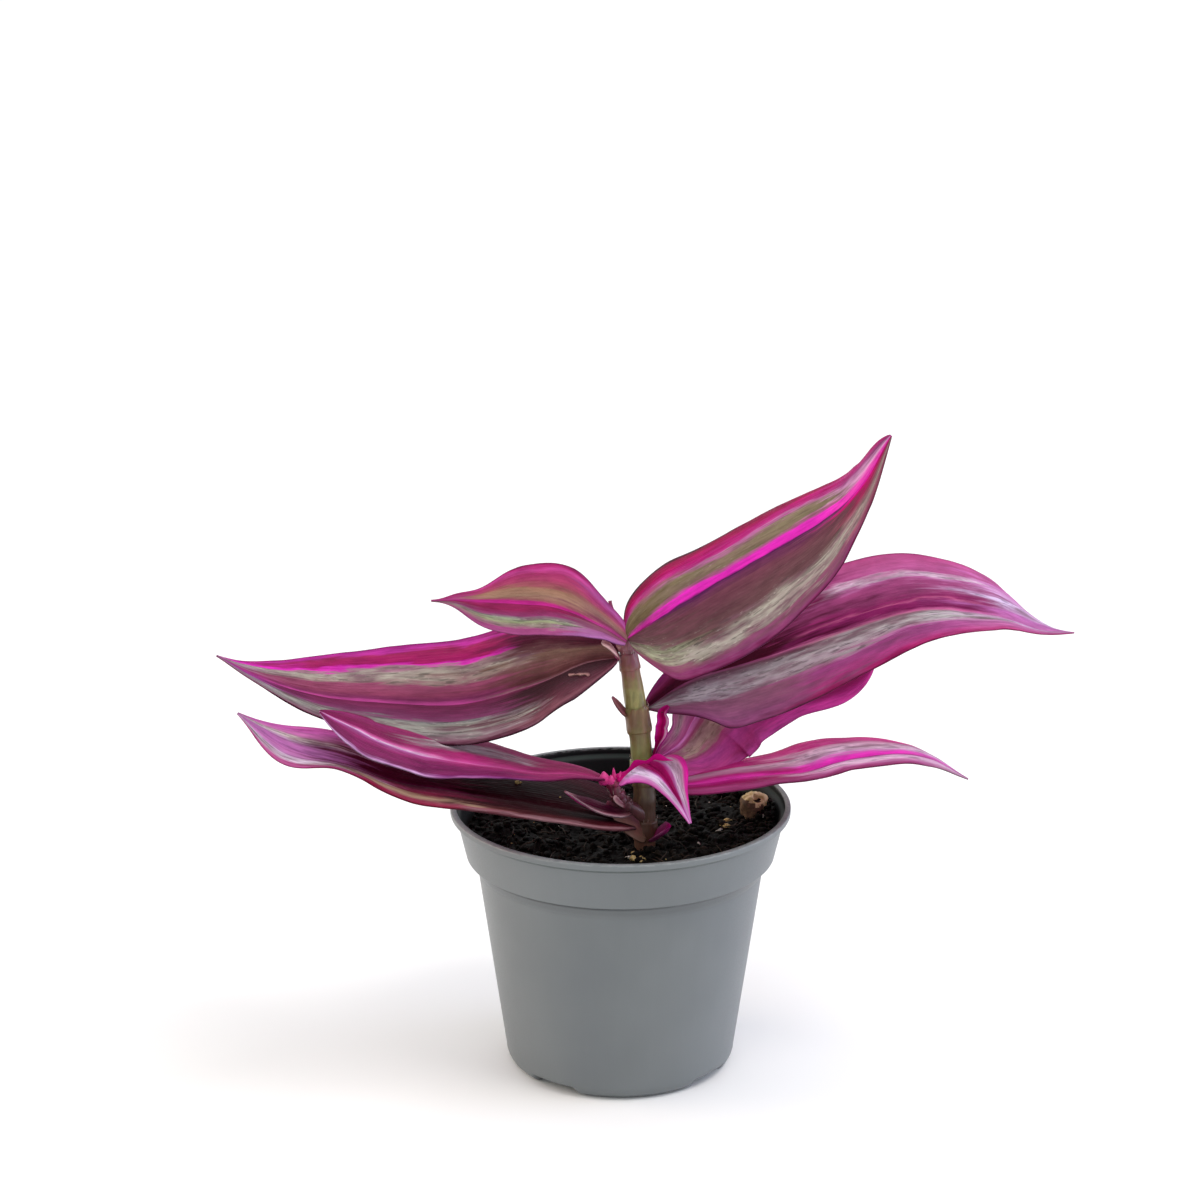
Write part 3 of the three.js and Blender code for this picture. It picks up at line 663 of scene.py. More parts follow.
def make_soil(materials):
    rings, sides = 96, 300
    points = []
    for radius in SOIL_EDGE_RADIUS * np.sqrt(np.linspace(1, 0.0004, rings)):
        drop = SOIL_EDGE_DROP * smoothstep(radius, SOIL_EDGE_RADIUS - SOIL_EDGE_WIDTH, SOIL_EDGE_RADIUS)
        for angle in round_angles(sides):
            x, y = polar(radius, angle)
            points.append((x, y, soil_height(x, y) - drop))
    side = [
        (0.01, FLOOR_TOP_Z + SOIL_GAP), (FOOT_RADIUS - WALL - SOIL_GAP, FLOOR_TOP_Z + SOIL_GAP),
        (FOOT_RADIUS - WALL + INSIDE_CORNER - SOIL_GAP, FLOOR_TOP_Z + INSIDE_CORNER),
        (BODY_TOP_RADIUS - WALL - SOIL_GAP, BODY_TOP_Z),
        (COLLAR_FOOT_RADIUS - COLLAR_WALL - SOIL_GAP, COLLAR_FOOT_Z),
    ]
    points = np.concatenate([lathe(side, sides), points])
    faces = grid_faces(rings + len(side), sides, closed=True)
    make_piece("peat_bed", points, faces, [materials["peat"]], "soil", ("soil",))


# A crumb before it is stretched: 12 corners, 20 faces
CRUMB_CORNERS = np.array([
    (0, 0, 1), (0.89, 0, 0.45), (0.28, 0.85, 0.45), (-0.72, 0.53, 0.45), (-0.72, -0.53, 0.45),
    (0.28, -0.85, 0.45), (0.72, 0.53, -0.45), (-0.28, 0.85, -0.45), (-0.89, 0, -0.45), (-0.28, -0.85, -0.45),
    (0.72, -0.53, -0.45), (0, 0, -1),
])
CRUMB_FACES = (
    [[0, k, k % 5 + 1] for k in range(1, 6)]
    + [[k, 6 + (k + 3) % 5, k % 5 + 1] for k in range(1, 6)]
    + [[k % 5 + 1, 6 + (k + 3) % 5, 6 + (k + 4) % 5] for k in range(1, 6)]
    + [[11, 6 + (k + 1) % 5, 6 + k % 5] for k in range(1, 6)]
)


def crumb(draw, x, y, size, flat=1.0, lift=0.3, under=None):
    """One irregular grain that lies on the soil, or on something else whose height is given."""
    under = soil_height(x, y) if under is None else under
    stretch = np.array([draw.uniform(0.7, 1.4), draw.uniform(0.6, 1.1), draw.uniform(0.5, 0.9) * flat])
    bumps = np.array([[draw.uniform(0.75, 1.2)] for _ in CRUMB_CORNERS])
    turn, tip = draw.uniform(0, 2 * math.pi), draw.uniform(-0.5, 0.5)
    spin = np.array([[math.cos(turn), -math.sin(turn), 0], [math.sin(turn), math.cos(turn), 0], [0, 0, 1]])
    lean = np.array([[1, 0, 0], [0, math.cos(tip), -math.sin(tip)], [0, math.sin(tip), math.cos(tip)]])
    corners = CRUMB_CORNERS * bumps * stretch * size / 2
    return corners @ (spin @ lean).T + [x, y, under + lift * size * flat * 0.5]


def place_in_pot(draw, most=SOIL_EDGE_RADIUS - 0.8):
    return polar(most * math.sqrt(draw.random()), draw.uniform(0, 2 * math.pi))


# Pale grains that show in the photo: place on the soil, size and tone
PALE_GRAINS = [
    (2.6, -15.4, 1.7, "yellow"), (1.1, -14.2, 1, "white"), (3.6, -15, 1.2, "yellow"),
    (2.4, -13.2, 1, "yellow"), (19, 1, 1.5, "yellow"), (18, -2.8, 1.7, "yellow"), (17.2, -4.2, 1, "white"),
    (24.6, 9.2, 0.9, "white"), (26, 4.5, 0.8, "yellow"), (-12.4, -5.6, 0.7, "white"),
    (-11, -8.4, 0.8, "white"), (-18, -9.5, 0.6, "white"), (25.6, 0.6, 0.7, "white"), (13.5, -9, 0.6, "white"),
]

# Grains that have fallen on the low left leaf: place and size
GRAINS_ON_LEAF = [
    (-17.9, -12.7, 56.5, 1.1), (-17.3, -12.4, 56.4, 0.6), (-10.5, -13.1, 53.95, 0.6), (-14, -15.2, 54.6, 0.4),
]


def make_peat_crumbs(draw, materials):
    """Crumbs of peat and bark, with more of them heaped against the wall on the right."""
    peat = Batch()
    for _ in range(CRUMBS):
        x, y = place_in_pot(draw)
        peat.add(crumb(draw, x, y, draw.choice(CRUMB_SIZES)), CRUMB_FACES, draw.choice([0, 0, 0, 1]))
    for _ in range(WALL_CRUMBS):
        x, y = polar(draw.uniform(24, 27.2), draw.uniform(-0.5, 0.75))
        grain_points = crumb(draw, x, y, draw.uniform(0.5, 1.6), 1, draw.uniform(0.2, 1))
        peat.add(grain_points, CRUMB_FACES, draw.choice([0, 0, 1]))
    peat.piece("peat_crumbs", [materials["peat"], materials["bark"]], "soil")


def make_pale_grains(draw, materials):
    """Perlite and wood chips: those that the photo shows, in threes, a finer dust, and some on a leaf."""
    pale = Batch()
    for x, y, size, tone in PALE_GRAINS:
        for _ in range(3):
            near_x, near_y = x + draw.uniform(-0.5, 0.5) * size, y + draw.uniform(-0.4, 0.4) * size
            grain_points = crumb(draw, near_x, near_y, size * draw.uniform(0.5, 1))
            pale.add(grain_points, CRUMB_FACES, int(tone == "yellow"))
    for _ in range(PALE_DUST):
        x, y = place_in_pot(draw)
        pale.add(crumb(draw, x, y, draw.uniform(0.25, 0.5)), CRUMB_FACES, draw.choice([0, 1]))
    for x, y, z, size in GRAINS_ON_LEAF:
        pale.add(crumb(draw, x, y, size, 0.7, under=z), CRUMB_FACES, 1)
    pale.piece("pale_grains", [materials["perlite"], materials["wood_chip"]], "soil")


def make_fibres(draw, materials):
    """Thin bent fibres that lie on the peat."""
    fibres = Batch()
    for _ in range(FIBRES):
        x, y = place_in_pot(draw, SOIL_EDGE_RADIUS - 3)
        heading, length = draw.uniform(0, 2 * math.pi), draw.uniform(2, 6)
        bend, thick = draw.uniform(-0.5, 0.5), draw.uniform(0.06, 0.16)
        line = []
        for t in np.linspace(-0.5, 0.5, 7):
            off_x, off_y = polar(length * t, heading + bend * t)
            rise = 0.25 + 0.25 * math.cos(3 * t)
            line.append((x + off_x, y + off_y, soil_height(x + off_x, y + off_y) + rise))
        fibres.add(*tube(line, [thick * (1 - abs(t) * 0.8) for t in np.linspace(-1, 1, 7)], 5))
    fibres.piece("peat_fibres", [materials["fibre"]], "soil")


# Stem

def stem_radius(z):
    """Radius of the stem at a height, thicker at the nodes and pointed at the top bud."""
    radius = STEM_RADIUS + (STEM_TOP_RADIUS - STEM_RADIUS) * smoothstep(z, *STEM_TAPER_Z)
    radius = radius + (BUD_TIP_RADIUS - radius) * smoothstep(z, STEM_TAPER_Z[1], BUD_TIP_Z)
    for node_z in STEM_NODES:
        radius = radius + NODE_SWELLING * np.exp(-((z - node_z) / NODE_REACH) ** 2)
    return radius


def branch_radius(z):
    foot, top = BRANCH[0][2], BRANCH[-1][2]
    return BRANCH_RADIUS + (BRANCH_TOP_RADIUS - BRANCH_RADIUS) * np.clip((z - foot) / (top - foot), 0, 1)


LIMBS = {"stem": (STEM, stem_radius), "branch": (BRANCH, branch_radius)}


def ribbed(radii, sides, seed, depth=0.05):
    """Radii round each ring of a limb, with faint lengthwise ridges and an uneven skin."""
    turn = round_angles(sides)
    ridges = 1 + 0.012 * np.sin(9 * turn)
    made = []
    for i, radius in enumerate(radii):
        skin = [uneven(3 * math.cos(t), 3 * math.sin(t), i * 0.12 + seed) for t in turn]
        made.append(radius * ridges + depth * np.array(skin))
    return np.array(made)


# Colours of the stem and of the side shoot, by height in millimetres
# On the stem, the paler yellow-olive band near 71 mm is partly a painted highlight.
STEM_COLOURS = stops_of("""
    40 5c4034, 46 6e4c3e, 51 64483a, 54 6c5440, 56.5 7c6e48, 59 94985c, 61.5 8a8a52, 64 84764c, 66 82664c,
    67.6 82684a, 69 868250, 71 9a945a, 73 8c7850, 75 8a5a4e, 77.5 84505a, 80 8c5a62, 83 9c4074, 88 7a2a50""")
# The side shoot's dark browns and maroon below 56 mm are partly painted shade, where it lies under the
# leaves' feet.
BRANCH_COLOURS = stops_of("""
    44 6e4c40, 48.5 7c5850, 51 70444a, 54 6c2c40, 56.5 8c2450, 58 b02870""")


def make_stem(materials):
    batch = Batch()
    path = spline(STEM, np.linspace(0.12, 1, 150))
    batch.add(*tube(path, ribbed(stem_radius(path[:, 2]), 36, 1), 36))
    path = spline(BRANCH, np.linspace(0, 1, 50))
    batch.add(*tube(path, ribbed(branch_radius(path[:, 2]), 28, 4), 28), 1)
    batch.piece("stem_and_shoot", [materials["stem"], materials["branch"]], "stem", ("stem",))


def make_stub(materials):
    """The dry cut end of an old stem: a rough brown foot, a pale crumbling cap and a hollow in it."""
    rings, sides = 26, 60
    x, y = STUB_PLACE
    heights = np.linspace(STUB_FOOT_Z, STUB_TOP_Z, rings)
    over = np.clip((heights - STUB_TOP_Z + STUB_DOME) / STUB_DOME, 0, 1)
    radii = STUB_RADIUS * (1.08 - 0.14 * np.linspace(0, 1, rings)) * np.sqrt(1.0004 - over**2)
    points = lathe(list(zip(radii, heights)), sides)
    hollow = np.array([x + 0.7, y - 1.2, STUB_TOP_Z - 0.5])
    for i, (px, py, pz) in enumerate(points):
        rough = uneven(px / 1.6, py / 1.6, pz / 2) + 0.45 * uneven(px * 1.7, py * 1.7, pz * 1.7)
        spot = np.array([x + px * (1 + 0.2 * rough), y + py * (1 + 0.2 * rough), pz + 0.35 * rough])
        deep = 1 - float(smoothstep(np.linalg.norm(spot - hollow), 0.3, 1.2))
        points[i] = spot + deep * np.array([-0.3, 0.7, -0.9])
    faces = grid_faces(rings, sides, closed=True)
    kinds = []
    for face in faces:
        middle = points[face].mean(axis=0)
        ragged = STUB_BARK_TOP_Z - 0.35 * (middle[0] - x) + 0.9 * uneven(*middle / 1.3)
        # Faces in the hollow take the dark bark colour as painted shade.
        dark = np.linalg.norm(middle - hollow - [-0.2, 0.4, -0.6]) < 0.75
        kinds.append(2 if dark else int(middle[2] > ragged))
    skins = [materials["stub"], materials["pith"], materials["bark"]]
    make_piece("cut_stem_end", points, faces, skins, "stub", ("old_stem_stub",), kinds)


# Closed flower buds: place, radius, half of their height and lean
BUDS = [
    (-2.8, -13, 57.4, 1.1, 1.25, -0.2), (-1.7, -13.2, 57.1, 0.85, 1, 0), (-1.1, -12.9, 58, 0.42, 1.3, -0.2),
    (-0.3, -12.8, 57.7, 0.4, 1, 0.4), (-3.4, -12.8, 56.9, 0.5, 0.8, -0.4),
]


def make_buds(material):
    """Closed flower buds, pointed, each with three fine keels."""
    batch = Batch()
    shares = np.linspace(0, 1, 14)
    swell = np.sin(math.pi * (shares * 0.92 + 0.04)) ** 0.7 * (1 - 0.35 * shares)
    for x, y, z, radius, tall, lean in BUDS:
        path = [(x + lean * tall * (t - 0.3), y, z + tall * (2 * t - 1)) for t in shares]
        keels = 1 + 0.07 * np.cos(3 * round_angles(24) + x)
        batch.add(*tube(path, radius * swell[:, None] * keels, 24))
    batch.piece("pink_flower_buds", [material], "bud", ("flower_buds",))


# Leaves
# rib: the midrib's points from base to tip. roll: how far the upper side is turned from straight up
# towards the leaf's right. lift and curl: the angle at which each half leaves the midrib, and how far
# it bends on the way to its margin, in degrees. scale: how much wider each half is than its outline.
# half: the widest half's width. widest: where that is. taper: how drawn out the tip is. sheath: the
# stretch of stem that the leaf's foot wraps. middle, base and tip: colours of the bands from the left
# margin, -1, to the right one, 1. base_to and tip_from: where along the leaf they meet. slot and dusk:
# its slot and the colour of its thin pale tissue, where these aren't the usual ones.
LEAVES = dict(
    leaf_top_right=dict(
        rib=[(1.2, -8.5, 81.2), (5.5, -8.6, 84.5), (13.5, -9, 90), (23.5, -9, 96), (34, -9.5, 102.5),
            (40, -10.5, 108.5), (45, -12.1, 117.9)],
        half=14.5, widest=0.41, taper=0.95, roll=[40, 40, 38, 38, 55],
        left=dict(lift=[20, 8, 0, 0, 10], curl=-55,
            scale=[0.8, 0.84, 0.94, 0.86, 0.98, 1.2, 1.22, 1.24, 1.4]),
        right=dict(lift=[25, 10, 5, 12, 5], curl=-28, scale=[1, 1.14, 1.06, 1, 0.96, 0.88, 0.74, 0.56, 0.45]),
        sheath=("stem", 78.5, 80.2), base_to=0.2, tip_from=0.66,
        middle="""-1 18040c, -0.93 3c061e, -0.84 7c0438, -0.64 a00a52, -0.52 ac1c70, -0.44 b03480,
            -0.4 b4689c, -0.36 946878, -0.31 84785f, -0.16 7a6a58, -0.1 b05690, -0.07 e038bc, 0.02 dc34b4,
            0.045 501850, 0.09 683054, 0.2 6c3c4c, 0.52 68484c, 0.6 80706c, 0.67 aca49a, 0.79 a49a92,
            0.85 88546a, 0.94 8c4470, 1 7c2c58""",
        base="""-1 14030a, -0.88 380620, -0.74 8c0840, -0.62 a81860, -0.52 b84088, -0.47 9c6078,
            -0.42 7c6c50, -0.12 705c44, -0.07 c84ca0, -0.01 d83ca8, 0.03 902468, 0.07 684048, 0.4 644c4a,
            0.5 80806a, 0.66 acb094, 0.76 9c9480, 0.83 8c5468, 0.95 8c3c68, 1 782850""",
        tip="""-1 700c40, -0.85 a01060, -0.6 ac2474, -0.36 944880, -0.26 c890bc, -0.16 dca0cc,
            -0.1 e858bc, 0.08 e028ac, 0.18 bc146c, 0.4 9c2c58, 0.55 905868, 0.7 a89490, 0.85 94586c,
            1 742444""",
    ),
    leaf_long_right=dict(
        rib=[(4.5, -6.5, 68), (12, -1, 71), (24.5, 5, 73), (39, 10, 76.5), (53, 13, 79.5), (66, 15, 78),
            (75, 16, 75), (81, 16, 74.5)],
        half=11.5, widest=0.39, taper=0.82, roll=[40, 60, 50, 25, 5],
        left=dict(lift=[30, 34, 36, 6, -20], curl=-29, scale=[0.3, 0.42, 0.6, 0.94, 0.98, 1, 1.36, 1.8, 1]),
        right=dict(lift=[40, 22, 34, 18, -8], curl=-5,
            scale=[0.84, 1.16, 0.96, 0.9, 0.92, 0.84, 0.52, 0.3, 0.3]),
        sheath=("stem", 64, 68.5), base_to=0.38, tip_from=0.6,
        middle="""-1 b84c84, -0.9 b45488, -0.72 b0588c, -0.67 cc9cb8, -0.62 e0c4d8, -0.57 b8689c,
            -0.5 9c4878, -0.34 90406c, -0.22 943068, -0.18 b85884, -0.15 8c2c64, -0.07 882860,
            -0.02 d068a0, 0.03 bc8098, 0.08 aca4a8, 0.22 bcb8b8, 0.36 b8acb4, 0.44 b08ca0, 0.5 c078ac,
            0.56 9c4c84, 0.7 a44c88, 0.84 b04484, 0.94 ac3070, 1 94245c""",
        # The near-black maroon in the base's left half is painted shadow, cast by leaf_top_right.
        base="""-1 903070, -0.7 8c3464, -0.52 641838, -0.3 400a20, -0.04 481024, 0 904c70, 0.05 745460,
            0.14 989094, 0.3 bcb6b8, 0.42 aca0a6, 0.52 905c74, 0.7 945878, 0.88 94507a, 1 702c50""",
        tip="""-1 b84c8c, -0.7 b868a4, -0.45 d4a8d4, -0.3 ccb4d4, -0.16 b468a8, 0 bc6ca8, 0.15 bc74b0,
            0.3 ccb0d0, 0.42 bc78a8, 0.8 b85c94, 1 c04c84""",
    ),
    leaf_young_left=dict(
        rib=[(0.9, -9, 80.8), (-3.6, -8.6, 83.5), (-11, -9, 87), (-18.5, -11, 88.5), (-26.5, -13, 89.5),
            (-32, -15, 90)],
        half=7, widest=0.34, taper=2, roll=[-25, -40, -55, -60, -60],
        left=dict(lift=[20, 28, 25, 10, 5], curl=-25,
            scale=[0.64, 0.45, 0.58, 0.82, 0.96, 1.24, 1.5, 1.08, 0.6]),
        right=dict(lift=[12, 16, 20, 15, 10], curl=-15,
            scale=[0.9, 0.66, 0.72, 0.98, 1.06, 1.12, 0.7, 0.84, 0.6]),
        sheath=("stem", 80.6, 82.2), slot="young_leaf", base_to=0.3, tip_from=0.7,
        middle="""-1 a85488, -0.84 a85084, -0.77 988880, -0.66 a0a880, -0.56 949c84, -0.5 8c7080,
            -0.44 8c3c6a, -0.22 8a2450, -0.1 982c5c, -0.06 c83494, 0.05 bc3484, 0.09 a06468, 0.18 a88470,
            0.38 a67c68, 0.46 a45c64, 0.58 a84868, 0.74 ac3c6c, 0.86 c84c94, 0.94 ac3070, 1 7c204c""",
        base="""-1 b874b4, -0.62 ac649c, -0.52 8c5070, -0.3 945870, -0.12 7c2c58, -0.04 b84890,
            0.06 b04488, 0.14 84405c, 0.3 98706c, 0.45 986064, 0.6 a84078, 0.8 b45ca4, 1 a03c7c""",
        tip="""-1 a84478, -0.6 a07884, -0.35 946c78, -0.15 8c1c50, 0 b84088, 0.2 b84c8c, 0.6 b0407c,
            1 a03068""",
    ),
    leaf_long_left=dict(
        rib=[(-0.4, -7.8, 77.6), (-6.5, -6.6, 76), (-14.5, -5, 72), (-27, -4, 68), (-41.5, -3.5, 68),
            (-53, -4, 69.5), (-62.5, -5, 73), (-69.5, -6.5, 77.5)],
        half=12, widest=0.4, taper=1.15, roll=-35,
        left=dict(lift=[30, 24, 20, 24, 10], curl=-5,
            scale=[1.3, 1.34, 1.14, 1.02, 0.9, 0.82, 0.72, 0.42, 0.3]),
        right=dict(lift=[24, 20, 18, 20, 5], curl=-30, scale=[1, 0.78, 1.04, 1.1, 1.08, 1, 0.96, 0.82, 0.6]),
        sheath=("stem", 75, 78.1), base_to=0.34, tip_from=0.76,
        middle="""-1 501c34, -0.95 805468, -0.84 908488, -0.62 9c9c94, -0.5 787478, -0.44 7c3c64,
            -0.3 743058, -0.05 742c50, -0.02 c05098, 0.02 b84c90, 0.05 8c3c68, 0.14 984868, 0.27 a05474,
            0.33 a48c88, 0.42 b4aca0, 0.5 b0a49c, 0.555 b07c94, 0.58 dc40b8, 0.615 d034a8, 0.65 a02462,
            0.82 a02e5e, 0.9 b83898, 1 982878""",
        # In the base's right half, the dark band from about 0.48 to 0.75 is painted shadow, cast by
        # leaf_young_left.
        base="""-1 54283a, -0.9 7c4a58, -0.72 5c2c3c, -0.4 401c28, -0.06 381822, -0.02 a07480,
            0.03 64383c, 0.16 785050, 0.38 84685c, 0.48 684248, 0.58 4c1c2c, 0.75 602040, 0.9 84285c,
            1 8c285c""",
        tip="""-1 982c5c, -0.84 a890a4, -0.5 a88ca4, -0.3 b044a0, -0.05 b848a0, 0.1 a83c80, 0.25 a88ca0,
            0.5 b494a4, 0.58 dc3cbc, 0.75 d834b4, 0.9 b02c88, 1 9c2468""",
    ),
    leaf_low_left=dict(
        rib=[(2, -12, 48), (-5, -14.5, 51), (-17.5, -18.5, 55), (-29, -22.5, 58.5), (-37.5, -26, 61.5),
            (-46, -28.5, 65.5), (-55.5, -30, 69), (-63.5, -31, 75.5)],
        half=11.5, widest=0.39, taper=1.1, roll=[-8, -4, -5, -18, -55],
        left=dict(lift=[30, 15, 12, 22, 12], curl=-20,
            scale=[0.8, 1.02, 0.72, 0.72, 0.82, 0.9, 0.42, 1.02, 0.6]),
        right=dict(lift=[32, 15, 14, 24, 28], curl=-13,
            scale=[1.3, 1.1, 1.15, 0.95, 0.76, 0.72, 0.86, 0.96, 0.6]),
        sheath=("stem", 44.8, 48.6), slot="dark_leaf", base_to=0.42, tip_from=0.64, dusk="5c2038",
        # Most of the dark maroon in middle and the near-black base is painted shade, cast by the leaves
        # above.
        middle="""-1 841c38, -0.92 8c2444, -0.85 84444f, -0.78 987c68, -0.69 886a58, -0.6 6c1c34,
            -0.3 5a1430, -0.04 5c1432, 0 7c2450, 0.06 601432, 0.4 681a3a, 0.6 702248, 0.74 7c2c58,
            0.84 903868, 0.92 983c78, 1 9c3468""",
        base="""-1 5c3038, -0.93 986f76, -0.84 4c1820, -0.6 28050c, 0 2c0610, 0.5 340916, 0.8 400c20,
            1 441028""",
        tip="""-1 bc5088, -0.84 c0649c, -0.74 e0c4dc, -0.56 dcc8dc, -0.46 c484bc, -0.2 bc70ac,
            0.04 c87cc0, 0.25 c074b4, 0.36 d0a8cc, 0.5 d0c0c0, 0.6 c880b0, 0.8 d068b8, 1 cc60ac""",
    ),
    leaf_mid_left=dict(
        rib=[(-2.9, -12.8, 57.2), (-8, -13.3, 58.2), (-14, -15, 59), (-21, -17.5, 61), (-28, -20, 63),
            (-34.5, -23, 65.5), (-40, -26, 68.5), (-45, -28, 72), (-50, -30, 75.5)],
        half=9, widest=0.41, taper=0.9, roll=[5, -8, -24, -30, -32],
        left=dict(lift=[17, 14, 12, 12, 12], curl=-15,
            scale=[0.6, 0.4, 0.36, 0.4, 0.5, 0.74, 0.9, 1.34, 1.8]),
        right=dict(lift=[12, 10, -12, -5, 20], curl=-17,
            scale=[0.6, 0.6, 0.76, 1.2, 1.4, 1.3, 1.12, 0.84, 0.8]),
        sheath=("branch", 53.6, 54.7), base_to=0.3, tip_from=0.5,
        middle="""-1 ac649c, -0.95 8c4080, -0.88 742054, -0.7 702050, -0.5 782456, -0.3 902a62,
            -0.12 b84080, -0.05 d070ac, 0 c04c90, 0.06 a83070, 0.2 9c2864, 0.26 88546c, 0.34 b8a8b0,
            0.56 ac9ca4, 0.62 943064, 0.8 a02c68, 1 7c2048""",
        base="""-1 7c2454, -0.8 982c68, -0.4 a8306c, -0.1 bc3c80, 0 c44c8c, 0.1 983064, 0.35 8c2c58,
            0.6 942c60, 0.85 a4346c, 1 702050""",
        tip="""-1 dcb0dc, -0.94 b880b4, -0.86 782c58, -0.6 7c2858, -0.3 882c60, -0.1 b060a0, -0.03 e8c8e8,
            0.06 c8609c, 0.16 842458, 0.5 7c2450, 0.8 903068, 1 7c2450""",
    ),
    leaf_low_right=dict(
        rib=[(5.4, -10.6, 55.4), (11.5, -10, 55), (22, -6, 55), (31.5, -4, 55), (39, -2, 56.5),
            (48.5, -1, 57.5), (54.5, -1, 56.5), (61, -1, 53)],
        half=10.3, widest=0.4, taper=1.05, roll=[-4, -2, 2, 2, 0],
        left=dict(lift=[9, 14, 25, 14, 2], curl=-39), right=dict(lift=[13, 18, 26, 16, 5], curl=-19),
        sheath=("stem", 54.6, 56.8), base_to=0.42,
        middle="""-1 a41860, -0.9 c03080, -0.7 cc3c8c, -0.58 bc508c, -0.5 d0a0bc, -0.3 dcbcd4,
            -0.2 d09cc8, -0.14 e05cc0, -0.08 e844c0, 0.06 e43cb8, 0.14 c830a0, 0.22 941c6c, 0.3 bc5cac,
            0.42 f0c4e4, 0.62 f4cce8, 0.74 d48cbc, 0.88 ac4c88, 1 943468""",
        base="""-1 a01858, -0.8 c02c80, -0.55 cc3088, -0.4 b83c7c, -0.3 cca0b8, -0.18 b0648c, -0.1 b42878,
            -0.02 e444b0, 0.2 e040ac, 0.4 b02478, 0.6 901854, 0.85 a04478, 1 8c2c60""",
        tip="""-1 8c2c60, -0.7 a84c80, -0.45 b88cb0, -0.3 e0b8dc, -0.1 cc68b4, 0.1 bc3894, 0.25 983878,
            0.4 dcacd0, 0.7 d4a8c8, 0.9 a87090, 1 8c6c78""",
    ),
    leaf_back_right=dict(
        rib=[(5.6, -6.6, 58.2), (8.5, -3.5, 58.9), (11, 0, 60), (14, 4, 63.5), (19, 8, 66.5),
            (28, 12, 68), (37.5, 15, 68.5), (45.5, 17, 70)],
        half=11, widest=0.48, taper=0.7, roll=[50, 45, 40, 35, 25],
        left=dict(lift=[50, 45, 30, 20, 15], curl=-20, scale=[0.4, 0.4, 0.6, 1, 1]),
        right=dict(lift=[25, 20, 10, 5, 10], curl=-35, scale=[0.8, 0.7, 0.85, 1, 1.04, 1.02, 0.96, 1.2, 1.5]),
        sheath=("stem", 57.2, 59.4), tip_from=0.6,
        middle="""-1 dc70b8, -0.85 d08cac, -0.6 ccb4b4, -0.45 d088ac, -0.3 cc78a8, -0.12 c85c94,
            -0.05 f49ce0, 0.04 f49cdc, 0.09 c86494, 0.16 d0aca8, 0.36 c8ac9c, 0.44 c45c90, 0.6 d058a8,
            0.8 c44c90, 1 d85cb4""",
        base="-1 c0549c, -0.5 b05888, -0.1 c85ca4, 0.1 c85ca0, 0.4 a8607c, 1 b44488",
        # The dark crimson across the middle of the tip is painted shade, cast by leaf_long_right.
        tip="""-1 9c2c70, -0.4 701c40, 0 6c203c, 0.3 742438, 0.55 8c2854, 0.74 c0388c, 0.86 ec54b8,
            1 f05cc0""",
    ),
    leaf_shoot=dict(
        rib=[(4.6, -13.5, 60.2), (6, -15, 59.7), (7.3, -17, 59), (8.6, -19.5, 57.7), (10.1, -22, 55.9),
            (11.6, -25, 53.8)],
        half=5.4, widest=0.15, taper=1.3, roll=[12, 8, 4, 0, 0],
        left=dict(lift=[0, 10, 18, 20, 20], curl=-12, scale=[0.8, 0.9, 0.95, 0.95, 1]),
        right=dict(lift=[26, 28, 30, 26, 20], curl=-62, scale=[1.25, 0.95, 0.72, 0.72, 0.9]),
        sheath=("branch", 55.9, 56.8), slot="young_leaf",
        # The dark crimson along the midrib, in middle and base, is painted shade in the folded leaf's trough.
        middle="""-1 d82c98, -0.84 d03898, -0.7 b890a8, -0.4 d0b0cc, -0.3 b060a0, -0.22 a01c60, 0 8c1450,
            0.2 981858, 0.3 b858a4, 0.4 dcbcdc, 0.62 e8d4ec, 0.76 d08cc4, 1 c84ca0""",
        base="""-1 dc2490, -0.7 c84c98, -0.4 b890b0, -0.2 a02468, 0 841048, 0.25 901854, 0.4 d0a4d0,
            0.64 e4ccea, 0.8 d08cc4, 1 cc48a0""",
        tip="-1 d040a8, -0.5 d090c8, 0 c05cb0, 0.5 e0a4d8, 1 d84cb0",
    ),
    leaf_dark=dict(
        rib=[(1, -13.3, 51.2), (-2.5, -16.5, 52.6), (-6.5, -19.5, 55.2), (-9.5, -22, 58.3)],
        half=2.4, widest=0.4, taper=1, roll=[-10, -20, -20],
        left=dict(lift=20, curl=-10), right=dict(lift=10, curl=-10),
        sheath=("branch", 51.9, 52.8), slot="dark_leaf",
        middle="-1 b09098, -0.84 8c5868, -0.6 4c1428, 0 3c0c20, 0.6 441028, 1 5c2440",
        base="-1 7c4c54, 0 542030, 1 6c3c48",
        tip="-1 b098a0, 0 84505c, 1 8c5c68",
    ),
)

